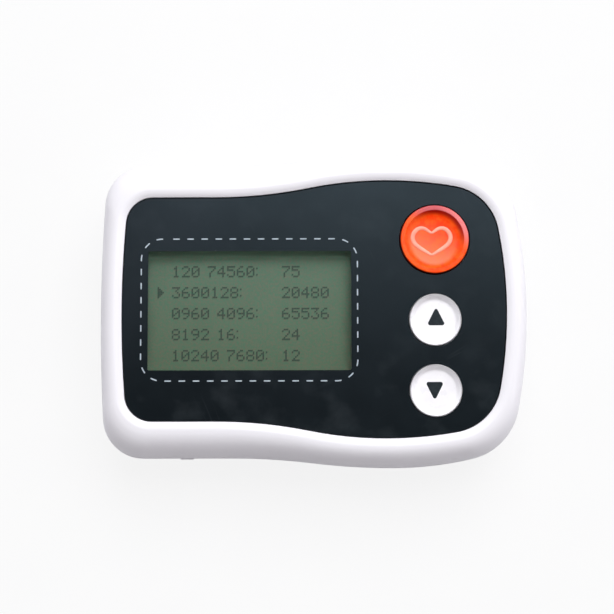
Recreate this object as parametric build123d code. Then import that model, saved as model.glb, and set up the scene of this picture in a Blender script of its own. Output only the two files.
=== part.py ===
"""A pocket heart-rhythm recorder that a patient wears for a day or more.

Sizes are in millimetres. The recorder lies on its back. +Z points out of the display, +X to the
display's right and +Y to its top. The origin is the middle of the back face.

The case is two white shells joined near mid height. A dark front panel is set into the upper shell,
with a window over the liquid crystal display and three round push buttons in a column. One circuit
board hangs from the upper shell on posts. Two small cells lie in a bay in the lower shell, under a
door that slides off the right end. The patient cable plugs into the left end, and a data socket with
a rubber cover opens through the lower edge.
"""

import math
import os
from dataclasses import dataclass, fields

from build123d import *

# Case shells
case_length = 95.0
wall = 1.8
seam_gap = 0.25
back_edge_radius = 5.0
roll_height = 8.75
roll_steps = 6
lip_height = 1.0
lip_thickness = 0.8
lip_gap = 0.12

# Case outline, seen from the front: a slim left end, a waist, and a fuller right end
case_left_half_height = 32.75
case_right_half_height = 34.95
case_waist_inset = 29.3
case_crown_inset = 30.0
case_crown_share = 0.5
case_shoulder_radius = 78.0
case_left_corner = 9.0
case_right_corner = 13.5
case_left_bow = 400.0
case_right_bow = 115.0

# Front panel, set in the rim that the front shell leaves round it
rim_left_end_width = 5.6
rim_right_end_width = 5.4
rim_left_side_width = 8.25
rim_right_side_width = 6.75
panel_waist_inset = 20.8
panel_crown_inset = 26.3
panel_crown_share = 0.46
panel_shoulder_radius = 88.0
panel_left_corner = 5.9
panel_right_corner = 11.6
panel_left_bow = 234.0
panel_right_bow = 95.0
panel_thickness = 1.5
panel_drop = 0.65
panel_gap = 0.1
panel_edge_chamfer = 0.25
rim_lip_width = 0.2
rim_slope_width = 1.6
rim_slope_drop = 0.6
rim_slope_steps = 4
deck_thickness = 1.3

# Display
window_left_margin = 5.7
window_right_margin = 33.9
window_side_margin = 11.45
window_y = -0.4
window_corner = 0.4
window_gap = 0.05
lens_flange = 2.0
lens_flange_thickness = 0.9
lens_drop = 0.05
deck_window_margin = 1.0
lcd_end_margin = 3.7
lcd_side_margin = 3.95
lcd_thickness = 1.9
lcd_corner = 0.3
light_guide_thickness = 1.6
display_frame_wall = 1.4
display_frame_lip = 0.4
display_frame_lip_width = 2.0
display_frame_corner = 1.5
display_frame_gap = 0.1
display_gasket_thickness = 0.4
display_gasket_width = 1.5

# Push buttons, in a column at the right
button_inset = 15.6
up_y = -2.55
event_spacing = 2.4
menu_spacing = 2.1
event_radius = 7.6
menu_radius = 5.65
button_gap = 0.2
event_height = 0.75
menu_height = 0.55
button_edge_radius = 0.35
event_rim_width = 1.1
menu_rim_width = 0.45
event_dish_depth = 0.95
menu_dish_depth = 0.9
event_dish_fillet = 0.8
menu_dish_fillet = 0.85
button_roof = 1.2
button_skirt = 1.1
button_stem_radius = 2.1
button_flange_width = 1.0
button_flange_thickness = 1.0
button_play = 0.05
button_travel = 0.4

# Tactile switch under each button
switch_side = 6.0
switch_height = 2.4
switch_corner = 0.5
plunger_radius = 1.7
plunger_gap = 0.08
plunger_depth = 1.2
plunger_floor_room = 0.3

# Circuit board
board_thickness = 1.6
board_room = 0.6
board_edge_gap = 0.8
board_post_radius = 2.2
board_post_left_inset = 17.5
board_post_right_inset = 8.0
board_post_room = 1.4
board_screw_radius = 0.8
board_screw_length = 5.0
board_screw_head_radius = 1.6
board_screw_head_height = 0.9
board_screw_head_room = 0.55
board_screw_drive_radius = 0.7
board_screw_drive_depth = 0.5

# Screws that join the shells, and the pillars that they pass through
case_boss_radius = 3.0
case_boss_left_end_inset = 7.5
case_boss_left_side_inset = 8.15
case_boss_right_end_inset = 10.1
case_boss_right_side_inset = 10.35
boss_plane_drop = 0.6
case_screw_radius = 1.1
case_screw_length = 9.0
case_screw_head_radius = 2.1
case_screw_head_height = 1.5
case_screw_head_depth = 1.4
case_screw_head_gap = 0.25
case_screw_drive_radius = 1.1
case_screw_drive_depth = 0.8
screw_hole_gap = 0.05
screw_end_room = 0.6
drive_corner_count = 6

# Cells and their bay
cell_radius = 5.25
cell_length = 44.5
cell_nub_radius = 1.9
cell_nub_height = 1.0
cell_edge_radius = 0.5
bay_play = 0.35
bay_wall = 1.2
plate_room = 0.9
spring_room = 3.2
contact_thickness = 0.3
contact_width = 7.0
contact_height = 7.6
contact_bump_radius = 1.5
contact_touch_gap = 0.05
contact_tail_width = 2.0
contact_slot_gap = 0.2

# Sliding battery door
door_rail = 1.0
door_rail_share = 0.5
door_gap = 0.15
door_end_drop = 2.4
door_left_overlap = 1.6
door_grip_count = 4
door_grip_pitch = 2.2
door_grip_radius = 0.7
door_grip_depth = 0.4
door_grip_length = 15.0
door_grip_inset = 9.0

# Patient cable socket in the left end
socket_width = 20.0
socket_height = 7.0
socket_depth = 8.6
socket_wall = 1.4
socket_corner = 1.0
socket_floor = 2.2
socket_case_gap = 0.2
socket_set_back = 0.5
tongue_length = 4.0
tongue_width = 16.0
tongue_thickness = 1.6
pin_count = 10
pin_width = 0.7
pin_thickness = 0.2
pin_tip_gap = 0.4
pin_tail = 0.6

# Data socket in the lower edge, and its rubber cover
data_socket_inset = 25.5
data_socket_width = 7.7
data_socket_height = 3.2
data_socket_length = 9.0
data_socket_wall = 0.35
data_socket_corner = 0.5
data_socket_gap = 0.3
data_socket_set_back = 1.3
data_tongue_thickness = 0.7
data_tongue_width = 4.4
data_tongue_length = 5.2
data_back_thickness = 1.5
cover_end_margin = 4.3
cover_side_margin = 0.85
cover_seam_margin = 1.05
cover_thickness = 0.9
cover_corner = 1.6
cover_gap = 0.12
cover_stem_radius = 0.8
cover_stem_room = 1.4
cover_stem_gap = 0.1
cover_barb_radius = 1.3
cover_barb_length = 1.2
cover_travel = 4.0
cover_tab_width = 3.0
cover_tab_height = 1.2
cover_tab_reach = 0.25

# Parts on the underside of the board, beside the bay
chip_height = 1.4
chip_corner = 0.3
chip_spacing = 6.0
signal_side = 10.0
controller_side = 12.0
memory_width = 18.0
memory_depth = 12.0
crystal_width = 7.0
crystal_depth = 3.2
crystal_height = 2.4
buzzer_radius = 4.6
buzzer_height = 4.0
buzzer_hole_radius = 0.9
buzzer_hole_depth = 0.8
clock_offset = 6.0
clock_radius = 4.75
clock_height = 2.0
clock_holder_wall = 0.9
clock_holder_floor = 0.6
clock_gap = 0.1
memory_spacing = 2.0

# Ribbon from the display to the board
flex_side_margin = 13.3
flex_thickness = 0.2
flex_bend = 1.2
flex_run = 1.0
flex_slot_gap = 0.15
flex_socket_margin = 1.0
flex_socket_depth = 2.4
flex_socket_height = 1.0

# Seal that lies on the lip between the shells
seal_thickness = 0.5

# Bare rating plate on the back
label_end_margin = 9.5
label_door_margin = 4.0
label_height = 34.0
label_corner = 1.5
label_thickness = 0.15
label_recess = 0.2
label_gap = 0.15

# A cut runs this far past the face that it opens
overrun = 1.0

# Heights, stacked from the back face up
cell_z = wall + bay_play + cell_radius
bay_ceiling = cell_z + cell_radius + bay_play
board_bottom = bay_ceiling + bay_wall + board_room
board_top = board_bottom + board_thickness
light_guide_bottom = board_top + display_frame_lip
light_guide_top = light_guide_bottom + light_guide_thickness
lcd_bottom = light_guide_top + display_frame_gap
flex_mid_z = lcd_bottom + lcd_thickness / 2
gasket_bottom = lcd_bottom + lcd_thickness
deck_bottom = gasket_bottom + display_gasket_thickness
deck_top = deck_bottom + deck_thickness
panel_top = deck_top + panel_thickness
crest_z = panel_top + panel_drop
roll_start_height = crest_z - roll_height
flange_bottom = deck_bottom - button_play - button_flange_thickness
socket_z = board_bottom - socket_wall - socket_height / 2
data_socket_z = board_bottom - data_socket_wall - data_socket_height / 2
cover_width = data_socket_width + 2 * (data_socket_wall + cover_end_margin)
cover_height = data_socket_height + 2 * (data_socket_wall + cover_side_margin)
parting_height = data_socket_z - cover_height / 2 - cover_seam_margin
lip_top = parting_height + lip_height
boss_plane_height = parting_height - boss_plane_drop
door_end_height = parting_height - door_end_drop
case_screw_top = case_screw_head_depth + case_screw_head_height + case_screw_length

# Lengths and places along X
case_left = -case_length / 2
case_right = case_length / 2
panel_left = case_left + rim_left_end_width
panel_right = case_right - rim_right_end_width
window_left = panel_left + window_left_margin
window_right = panel_right - window_right_margin
window_width = window_right - window_left
window_x = (window_left + window_right) / 2
lcd_width = window_width + 2 * lcd_end_margin
flex_width = window_width - 2 * flex_side_margin
button_x = panel_right - button_inset
data_socket_x = case_left + data_socket_inset
cover_stem_offset = data_socket_width / 2 + data_socket_wall + cover_stem_room + cover_stem_radius
socket_mouth = case_left + socket_set_back
socket_end = socket_mouth + socket_depth

# Lengths and places along Y
panel_left_half_height = case_left_half_height - rim_left_side_width
panel_right_half_height = case_right_half_height - rim_right_side_width
window_height = 2 * (panel_left_half_height - window_side_margin)
lcd_height = window_height + 2 * lcd_side_margin
lcd_top_edge = window_y + lcd_height / 2
frame_top_edge = lcd_top_edge + display_frame_gap + display_frame_wall
event_y = up_y + menu_radius + event_radius + 2 * button_flange_width + event_spacing
down_y = up_y - 2 * (menu_radius + button_flange_width) - menu_spacing
button_places = [(event_y, event_radius), (up_y, menu_radius), (down_y, menu_radius)]
data_mouth = -case_left_half_height + data_socket_set_back

# The bay, its door and the label beside it
cell_y = cell_radius + bay_play / 2
bay_half_width = 2 * cell_radius + bay_play
door_half_width = bay_half_width + bay_wall
rail_half_width = door_half_width + door_rail
right_bow_drop = case_right_bow - math.sqrt(case_right_bow**2 - door_half_width**2)
bay_right = case_right - wall - right_bow_drop - 2 * door_gap - bay_wall
bay_left = bay_right - cell_length - plate_room - spring_room
door_left = bay_left - bay_wall - door_left_overlap
label_left = case_left + label_end_margin
label_right = door_left - label_door_margin

# Screw pillars and board posts
boss_left_x = case_left + case_boss_left_end_inset
boss_left_y = case_left_half_height - case_boss_left_side_inset
boss_right_x = case_right - case_boss_right_end_inset
boss_right_y = case_right_half_height - case_boss_right_side_inset
case_boss_places = [
    (boss_left_x, boss_left_y),
    (boss_left_x, -boss_left_y),
    (boss_right_x, boss_right_y),
    (boss_right_x, -boss_right_y),
]
post_left_x = case_left + board_post_left_inset
post_left_y = frame_top_edge - 2 * window_y + board_post_room + board_post_radius
post_right_x = case_right - board_post_right_inset
post_right_y = door_half_width + board_screw_head_radius + board_screw_head_room
board_post_places = [
    (post_left_x, post_left_y),
    (post_left_x, -post_left_y),
    (post_right_x, post_right_y),
    (post_right_x, -post_right_y),
]

# Parts on the board: two chips between the socket and the bay, the rest in rows beside the bay
chip_x = (socket_end + socket_floor + bay_left - bay_wall) / 2
signal_y = chip_spacing / 2 + signal_side / 2
controller_y = -chip_spacing / 2 - controller_side / 2
board_half_height = case_left_half_height - wall - board_edge_gap
row_y = (door_half_width + board_half_height) / 2
clock_x = button_x - clock_offset
clock_outer_radius = clock_radius + clock_gap + clock_holder_wall
memory_x = clock_x - clock_outer_radius - memory_spacing - memory_width / 2
data_socket_right = data_socket_x + data_socket_width / 2 + data_socket_wall
crystal_x = (data_socket_right + clock_x - buzzer_radius) / 2


@dataclass
class Outline:
    """A closed outline of tangent arcs, alike above and below the X axis.

    From the left end the edge runs level, dips through a wide valley arc, rises over a crown arc,
    and falls along a shoulder arc to the right corner. Both ends are shallow bows.
    """

    left: float
    right: float
    left_half: float
    right_half: float
    crown_x: float
    crown_radius: float
    valley_radius: float
    shoulder_radius: float
    left_corner: float
    right_corner: float
    left_bow: float
    right_bow: float

    def inset(self, distance):
        """The parallel outline, this far inside. A negative distance lies outside."""
        return Outline(
            self.left + distance,
            self.right - distance,
            self.left_half - distance,
            self.right_half - distance,
            self.crown_x,
            self.crown_radius - distance,
            self.valley_radius + distance,
            self.shoulder_radius - distance,
            self.left_corner - distance,
            self.right_corner - distance,
            self.left_bow - distance,
            self.right_bow - distance,
        )

    def blend(self, other, share):
        """The outline that lies this share of the way to another one."""
        pairs = [(getattr(self, f.name), getattr(other, f.name)) for f in fields(self)]
        return Outline(*[a + (b - a) * share for a, b in pairs])

    def face(self, z):
        """The outline as a flat face at height z, with its four corners rounded."""
        step = self.right_half - self.left_half
        radii = self.crown_radius + self.valley_radius
        valley_x = self.crown_x - math.sqrt(2 * step * radii - step**2)
        valley_centre = Vector(valley_x, self.left_half + self.valley_radius)
        crown_centre = Vector(self.crown_x, self.right_half - self.crown_radius)
        bend = valley_centre + (crown_centre - valley_centre) * (self.valley_radius / radii)
        left_drop = self.left_bow - math.sqrt(self.left_bow**2 - self.left_half**2)
        left_corner = Vector(self.left + left_drop, self.left_half)
        valley = Vector(valley_x, self.left_half)
        crown = Vector(self.crown_x, self.right_half)
        shoulder_centre = Vector(self.crown_x, self.right_half - self.shoulder_radius)
        bow_centre = Vector(self.right - self.right_bow, 0)
        right_corner = circles_meet(
            shoulder_centre, self.shoulder_radius, bow_centre, self.right_bow
        )
        valley_middle = arc_middle(valley_centre, self.valley_radius, valley, bend)
        crown_middle = arc_middle(crown_centre, self.crown_radius, bend, crown)
        shoulder_middle = arc_middle(shoulder_centre, self.shoulder_radius, crown, right_corner)

        def under(p):
            return Vector(p.X, -p.Y)

        edges = [
            Line(left_corner, valley),
            ThreePointArc(valley, valley_middle, bend),
            ThreePointArc(bend, crown_middle, crown),
            ThreePointArc(crown, shoulder_middle, right_corner),
            ThreePointArc(right_corner, (self.right, 0), under(right_corner)),
            ThreePointArc(under(right_corner), under(shoulder_middle), under(crown)),
            ThreePointArc(under(crown), under(crown_middle), under(bend)),
            ThreePointArc(under(bend), under(valley_middle), under(valley)),
            Line(under(valley), under(left_corner)),
            ThreePointArc(under(left_corner), (self.left, 0), left_corner),
        ]
        flat = make_face(edges).face()
        corners = [
            (left_corner, self.left_corner),
            (under(left_corner), self.left_corner),
            (right_corner, self.right_corner),
            (under(right_corner), self.right_corner),
        ]
        for corner, radius in corners:
            flat = flat.fillet_2d(radius, [nearest_vertex(flat, corner)])
        return Pos(0, 0, z) * flat


def circles_meet(centre_a, radius_a, centre_b, radius_b):
    """The upper of the two points where two circles cross."""
    between = centre_b - centre_a
    apart = between.length
    along = (radius_a**2 - radius_b**2 + apart**2) / (2 * apart)
    aside = math.sqrt(radius_a**2 - along**2)
    unit = between * (1 / apart)
    foot = centre_a + unit * along
    one = foot + Vector(-unit.Y, unit.X) * aside
    two = foot - Vector(-unit.Y, unit.X) * aside
    return max(one, two, key=lambda p: p.Y)


def arc_middle(centre, radius, start, end):
    """The point half way along the short arc from start to end."""
    chord_middle = (start + end) / 2
    return centre + (chord_middle - centre).normalized() * abs(radius)


def nearest_vertex(shape, point):
    return min(shape.vertices(), key=lambda v: (Vector(v.X, v.Y, v.Z) - point).length)


def waisted_outline(
    left,
    right,
    left_half,
    right_half,
    waist_x,
    crown_x,
    crown_share,
    shoulder_radius,
    left_corner,
    right_corner,
    left_bow,
    right_bow,
):
    """An outline whose valley and crown arcs span from the waist to the crown.

    Two arcs that meet tangent have centres as far apart as their radii together. Over a reach along
    X and a step in height, that makes the radii together (reach squared plus step squared) over
    twice the step. The crown arc takes its share of it.
    """
    step = right_half - left_half
    radii = ((crown_x - waist_x) ** 2 + step**2) / (2 * step)
    return Outline(
        left,
        right,
        left_half,
        right_half,
        crown_x,
        radii * crown_share,
        radii - radii * crown_share,
        shoulder_radius,
        left_corner,
        right_corner,
        left_bow,
        right_bow,
    )


case_outline = waisted_outline(
    case_left,
    case_right,
    case_left_half_height,
    case_right_half_height,
    case_left + case_waist_inset,
    case_right - case_crown_inset,
    case_crown_share,
    case_shoulder_radius,
    case_left_corner,
    case_right_corner,
    case_left_bow,
    case_right_bow,
)
panel_outline = waisted_outline(
    panel_left,
    panel_right,
    panel_left_half_height,
    panel_right_half_height,
    panel_left + panel_waist_inset,
    panel_right - panel_crown_inset,
    panel_crown_share,
    panel_shoulder_radius,
    panel_left_corner,
    panel_right_corner,
    panel_left_bow,
    panel_right_bow,
)
crest_outline = panel_outline.inset(-panel_gap - rim_slope_width - rim_lip_width)


def slab(outline, z_low, z_high):
    """A straight-sided solid of an outline between two heights."""
    return extrude(outline.face(z_low), z_high - z_low, dir=(0, 0, 1))


def block(x_low, x_high, y_low, y_high, z_low, z_high):
    """A box between two corners."""
    size = (x_high - x_low, y_high - y_low, z_high - z_low)
    middle = ((x_low + x_high) / 2, (y_low + y_high) / 2, (z_low + z_high) / 2)
    return Pos(*middle) * Box(*size)


def plate(x, y, width, depth, corner, z_low, z_high):
    """A flat plate with rounded corners, centred on x and y."""
    return Pos(x, y, z_low) * extrude(RectangleRounded(width, depth, corner), z_high - z_low)


def edge_plate(x, z, width, height, corner, y_low, y_high):
    """A plate with rounded corners that stands across the Y axis."""
    sketch = RectangleRounded(width, height, corner)
    return Pos(x, y_high, z) * Rot(90, 0, 0) * extrude(sketch, y_high - y_low)


def end_plate(y, z, width, height, corner, x_low, x_high):
    """A plate with rounded corners that stands across the X axis."""
    sketch = RectangleRounded(height, width, corner)
    return Pos(x_low, y, z) * Rot(0, 90, 0) * extrude(sketch, x_high - x_low)


def rod(x, y, radius, z_low, z_high):
    """An upright cylinder."""
    return Pos(x, y, (z_low + z_high) / 2) * Cylinder(radius, z_high - z_low)


def rod_along_x(y, z, radius, x_low, x_high):
    """A cylinder that lies along X."""
    return Pos((x_low + x_high) / 2, y, z) * Rot(0, 90, 0) * Cylinder(radius, x_high - x_low)


def rod_along_y(x, z, radius, y_low, y_high):
    """A cylinder that lies along Y."""
    return Pos(x, (y_low + y_high) / 2, z) * Rot(90, 0, 0) * Cylinder(radius, y_high - y_low)


def rim_level(turn):
    """Outline and height of the front shell's outside, where its edge has rolled by an angle."""
    share = 1 - math.cos(turn)
    height = roll_start_height + (crest_z - roll_start_height) * math.sin(turn)
    return case_outline.blend(crest_outline, share), height


def rolled_body(inset, z_low, z_high):
    """The front shell's outer form, moved inwards by a distance and cut off at a height."""
    last_turn = math.asin((z_high - roll_start_height) / (crest_z - roll_start_height))
    straight = slab(case_outline.inset(inset), z_low, roll_start_height)
    levels = [rim_level(last_turn * i / roll_steps) for i in range(roll_steps + 1)]
    return straight + loft([outline.inset(inset).face(z) for outline, z in levels])


def round_backed_body(inset, z_low, z_high):
    """The back shell's outer form, moved inwards by a distance, with its back edge rounded."""
    body = slab(case_outline.inset(inset), z_low, z_high)
    back = body.faces().sort_by(Axis.Z)[0]
    return fillet(back.edges(), back_edge_radius - inset)


def screw(x, y, z_head, head_radius, head_height, shank_radius, length, drive_radius, drive_depth):
    """A screw that points up, with its head at the bottom and a hexagonal socket in the head."""
    z_shank = z_head + head_height
    body = rod(x, y, head_radius, z_head, z_shank)
    body += rod(x, y, shank_radius, z_shank, z_shank + length)
    socket = extrude(RegularPolygon(drive_radius, drive_corner_count), drive_depth)
    return body - Pos(x, y, z_head) * socket


def socket_opening():
    """The way through both shells for the patient cable socket."""
    return end_plate(
        0,
        socket_z,
        socket_width + 2 * socket_wall + 2 * socket_case_gap,
        socket_height + 2 * socket_wall + 2 * socket_case_gap,
        socket_corner + socket_case_gap,
        case_left - overrun,
        socket_end + socket_floor + socket_case_gap,
    )


def rim_slope():
    """The space over the rim's inner slope, which curves down to the panel as a parabola."""
    levels = []
    for i in range(rim_slope_steps + 1):
        share = i / rim_slope_steps
        outline = panel_outline.inset(-panel_gap - rim_slope_width * share)
        levels.append(outline.face(crest_z - rim_slope_drop * (1 - share) ** 2))
    return loft(levels)


def front_shell():
    """White upper shell: a rolled rim, and a deck that carries the panel and the board's posts."""
    shell = rolled_body(0, parting_height + seam_gap, crest_z)
    shell -= rolled_body(wall, parting_height, deck_bottom)
    rebate_inset = wall - lip_thickness - lip_gap
    rebate_top = lip_top + seal_thickness + lip_gap
    shell -= slab(case_outline.inset(rebate_inset), parting_height, rebate_top)
    core = rolled_body(wall / 2, boss_plane_height, deck_top)
    for x, y in case_boss_places:
        shell += rod(x, y, case_boss_radius, boss_plane_height, deck_top) & core
    for x, y in board_post_places:
        shell += rod(x, y, board_post_radius, board_top, deck_top) & core
    shell -= slab(panel_outline.inset(-panel_gap), deck_top, crest_z + overrun)
    shell -= rim_slope()
    deck_low = deck_bottom - overrun
    deck_high = deck_top + overrun
    shell -= plate(
        window_x,
        window_y,
        window_width + 2 * deck_window_margin,
        window_height + 2 * deck_window_margin,
        window_corner + deck_window_margin,
        deck_low,
        deck_high,
    )
    for y, radius in button_places:
        shell -= rod(button_x, y, radius + button_gap, deck_low, deck_high)
    for x, y in case_boss_places:
        hole_top = case_screw_top + screw_end_room
        shell -= rod(x, y, case_screw_radius + screw_hole_gap, boss_plane_height, hole_top)
    for x, y in board_post_places:
        hole_top = board_bottom + board_screw_length + screw_end_room
        shell -= rod(x, y, board_screw_radius + screw_hole_gap, board_top, hole_top)
    shell -= socket_opening()
    return shell - data_port_hole() - cover_form(cover_gap, cover_gap)


def data_port_hole():
    """The way in through the lower wall to the data socket, and the hole for the cover's stem."""
    grow = 2 * (data_socket_wall + data_socket_gap)
    y_low = -case_left_half_height - overrun
    y_high = -case_left_half_height + wall + overrun
    way_in = edge_plate(
        data_socket_x,
        data_socket_z,
        data_socket_width + grow,
        data_socket_height + grow,
        data_socket_corner + data_socket_wall + data_socket_gap,
        y_low,
        y_high,
    )
    stem_radius = cover_stem_radius + cover_stem_gap
    stem_x = data_socket_x + cover_stem_offset
    return way_in + rod_along_y(stem_x, data_socket_z, stem_radius, y_low, y_high)


def cover_form(side_gap, depth_gap):
    """The rubber cover's block, from outside the case to the bottom of its recess."""
    return edge_plate(
        data_socket_x,
        data_socket_z,
        cover_width + 2 * side_gap,
        cover_height + 2 * side_gap,
        cover_corner + side_gap,
        -case_left_half_height - overrun,
        -case_left_half_height + cover_thickness + depth_gap,
    )


def data_port_cover():
    """Rubber cover: a flush plate, a pull tab, and a barbed stem that keeps it on the case."""
    outside = slab(case_outline, parting_height, roll_start_height + overrun)
    cover = cover_form(0, 0) & outside
    inner_y = -case_left_half_height + cover_thickness
    cover += edge_plate(
        data_socket_x,
        data_socket_z,
        data_socket_width - 2 * data_socket_gap,
        data_socket_height - 2 * data_socket_gap,
        data_socket_corner,
        inner_y - cover_gap,
        data_mouth - cover_gap,
    )
    stem_x = data_socket_x + cover_stem_offset
    barb_y = -case_left_half_height + wall + cover_travel + cover_gap
    cover += rod_along_y(stem_x, data_socket_z, cover_stem_radius, inner_y - cover_gap, barb_y)
    barb_end = barb_y + cover_barb_length
    cover += rod_along_y(stem_x, data_socket_z, cover_barb_radius, barb_y, barb_end)
    tab_x = data_socket_x - cover_stem_offset
    return cover + edge_plate(
        tab_x,
        data_socket_z,
        cover_tab_width,
        cover_tab_height,
        cover_tab_height / 2 - cover_gap,
        -case_left_half_height - cover_tab_reach,
        inner_y,
    )


def back_shell():
    """White lower shell: the back, the cell bay, the screw pillars and the lip of the seam."""
    outer = round_backed_body(0, 0, parting_height)
    shell = outer - round_backed_body(wall, wall, parting_height + overrun)
    lip_foot = parting_height - lip_thickness
    lip = slab(case_outline.inset(wall - lip_thickness), lip_foot, lip_top)
    shell += lip - slab(case_outline.inset(wall), lip_foot, lip_top)
    for x, y in case_boss_places:
        shell += rod(x, y, case_boss_radius, 0, boss_plane_height) & outer
    shell += bay_walls() & outer
    shell += bay_box()
    shell -= block(bay_left, bay_right, -bay_half_width, bay_half_width, wall, bay_ceiling)
    shell -= door_way()
    for slot in contact_slots():
        shell -= slot
    for x, y in case_boss_places:
        bore_top = case_screw_head_depth + case_screw_head_height
        bore_radius = case_screw_head_radius + case_screw_head_gap
        shell -= rod(x, y, bore_radius, -overrun, bore_top)
        shell -= rod(x, y, case_screw_radius + screw_hole_gap, 0, boss_plane_height)
    return shell - label_plate(label_gap, -overrun, label_recess) - socket_opening()


def bay_walls():
    """The thick foot round the bay, which ties it to the back and holds the door's rails."""
    reach = rail_half_width + door_gap + bay_wall
    foot_left = door_left - door_gap - bay_wall
    return block(foot_left, case_right, -reach, reach, 0, wall + door_gap + bay_wall)


def bay_box():
    """The box that the cells lie in, held clear of the door's end wall."""
    half = bay_half_width + bay_wall
    z_low = wall + door_gap
    top = bay_ceiling + bay_wall
    walls = block(bay_left - bay_wall, bay_right + bay_wall, -half, half, z_low, top)
    return walls & round_backed_body(wall + door_gap, z_low, top)


def door_way():
    """The space that the door lies in and slides out of, with its gap all round."""
    out = case_right + overrun
    start = door_left - door_gap
    half = door_half_width + door_gap
    top = door_end_height + door_gap
    way = block(start, out, -half, half, -overrun, top)
    way -= round_backed_body(wall + door_gap, wall + door_gap, top + overrun)
    rail_half = rail_half_width + door_gap
    rail_low = wall * door_rail_share - door_gap
    return way + block(start, out, -rail_half, rail_half, rail_low, wall + door_gap)


def battery_door():
    """Door that slides off the right end: a plate, two rails, and a share of the end wall."""
    half = door_half_width
    form = block(door_left, case_right, -half, half, 0, door_end_height)
    rail_low = wall * door_rail_share
    form += block(door_left, case_right, -rail_half_width, rail_half_width, rail_low, wall)
    top = door_end_height + overrun
    door = (form & round_backed_body(0, 0, top)) - round_backed_body(wall, wall, top)
    for i in range(door_grip_count):
        x = case_right - door_grip_inset - i * door_grip_pitch
        z = door_grip_depth - door_grip_radius
        door -= rod_along_y(x, z, door_grip_radius, -door_grip_length / 2, door_grip_length / 2)
    return door


def contact_slots():
    """Slots in the bay's ceiling for the tails of the two right contacts."""
    low_x = bay_right - contact_thickness - contact_slot_gap
    half = contact_tail_width / 2 + contact_slot_gap
    top = bay_ceiling + bay_wall + overrun
    return [block(low_x, bay_right, y - half, y + half, wall, top) for y in (-cell_y, cell_y)]


def front_panel():
    """Dark panel with the window, the seat of the lens behind it, and three button holes."""
    panel = slab(panel_outline, deck_top, panel_top)
    panel = chamfer(panel.faces().sort_by(Axis.Z)[-1].edges(), panel_edge_chamfer)
    panel -= plate(
        window_x,
        window_y,
        window_width,
        window_height,
        window_corner,
        deck_top,
        panel_top + overrun,
    )
    panel -= plate(
        window_x,
        window_y,
        window_width + 2 * (lens_flange + window_gap),
        window_height + 2 * (lens_flange + window_gap),
        window_corner + lens_flange,
        deck_top - overrun,
        deck_top + lens_flange_thickness + window_gap,
    )
    for y, radius in button_places:
        panel -= rod(button_x, y, radius + button_gap, deck_top - overrun, panel_top + overrun)
    return panel


def display_window():
    """Clear lens: a flange that lies on the deck, and a raised middle flush with the panel."""
    lens = plate(
        window_x,
        window_y,
        window_width + 2 * lens_flange,
        window_height + 2 * lens_flange,
        window_corner + lens_flange,
        deck_top,
        deck_top + lens_flange_thickness,
    )
    return lens + plate(
        window_x,
        window_y,
        window_width - 2 * window_gap,
        window_height - 2 * window_gap,
        window_corner,
        deck_top,
        panel_top - lens_drop,
    )


def lcd_plate(grow, corner, z_low, z_high):
    """A plate centred on the window, larger than the display glass by a margin all round."""
    width = lcd_width + 2 * grow
    depth = lcd_height + 2 * grow
    return plate(window_x, window_y, width, depth, corner, z_low, z_high)


def display_gasket():
    """Foam ring between the display glass and the deck."""
    ring = lcd_plate(0, lcd_corner, gasket_bottom, deck_bottom)
    hole_corner = lcd_corner
    hole_low = gasket_bottom - overrun
    hole_high = deck_bottom + overrun
    return ring - lcd_plate(-display_gasket_width, hole_corner, hole_low, hole_high)


def display_glass():
    """The liquid crystal cell."""
    return lcd_plate(0, lcd_corner, lcd_bottom, gasket_bottom)


def light_guide():
    """The clear slab that lights the display from behind."""
    return lcd_plate(-display_frame_gap, lcd_corner, light_guide_bottom, light_guide_top)


def display_frame():
    """Frame that stands on the board and holds the light guide and the display glass."""
    grow = display_frame_gap + display_frame_wall
    frame = lcd_plate(grow, display_frame_corner, board_top, gasket_bottom)
    frame -= lcd_plate(display_frame_gap, lcd_corner, light_guide_bottom, deck_bottom)
    frame -= lcd_plate(-display_frame_lip_width, lcd_corner, board_bottom, deck_bottom)
    half = flex_width / 2 + flex_slot_gap
    return frame - block(
        window_x - half,
        window_x + half,
        lcd_top_edge,
        frame_top_edge + overrun,
        flex_mid_z - flex_thickness / 2 - flex_slot_gap,
        deck_bottom,
    )


def display_flex():
    """Ribbon that leaves the display glass level, bends down and ends in its socket."""
    half = flex_width / 2
    z_low = flex_mid_z - flex_thickness / 2
    z_high = flex_mid_z + flex_thickness / 2
    bend_y = frame_top_edge + flex_run
    outer = flex_bend + flex_thickness
    level = block(window_x - half, window_x + half, lcd_top_edge, bend_y, z_low, z_high)
    centre_z = z_high - outer
    ring = rod_along_x(bend_y, centre_z, outer, window_x - half, window_x + half)
    ring -= rod_along_x(bend_y, centre_z, flex_bend, window_x - half, window_x + half)
    quarter = block(
        window_x - half, window_x + half, bend_y, bend_y + outer, centre_z, centre_z + outer
    )
    drop = block(
        window_x - half,
        window_x + half,
        bend_y + flex_bend,
        bend_y + outer,
        board_top + flex_socket_height,
        centre_z,
    )
    return level + (ring & quarter) + drop


def flex_socket():
    """Socket on the board that grips the ribbon's end."""
    y = frame_top_edge + flex_run + flex_bend + flex_thickness / 2
    width = flex_width + 2 * flex_socket_margin
    return block(
        window_x - width / 2,
        window_x + width / 2,
        y - flex_socket_depth / 2,
        y + flex_socket_depth / 2,
        board_top,
        board_top + flex_socket_height,
    )


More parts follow.
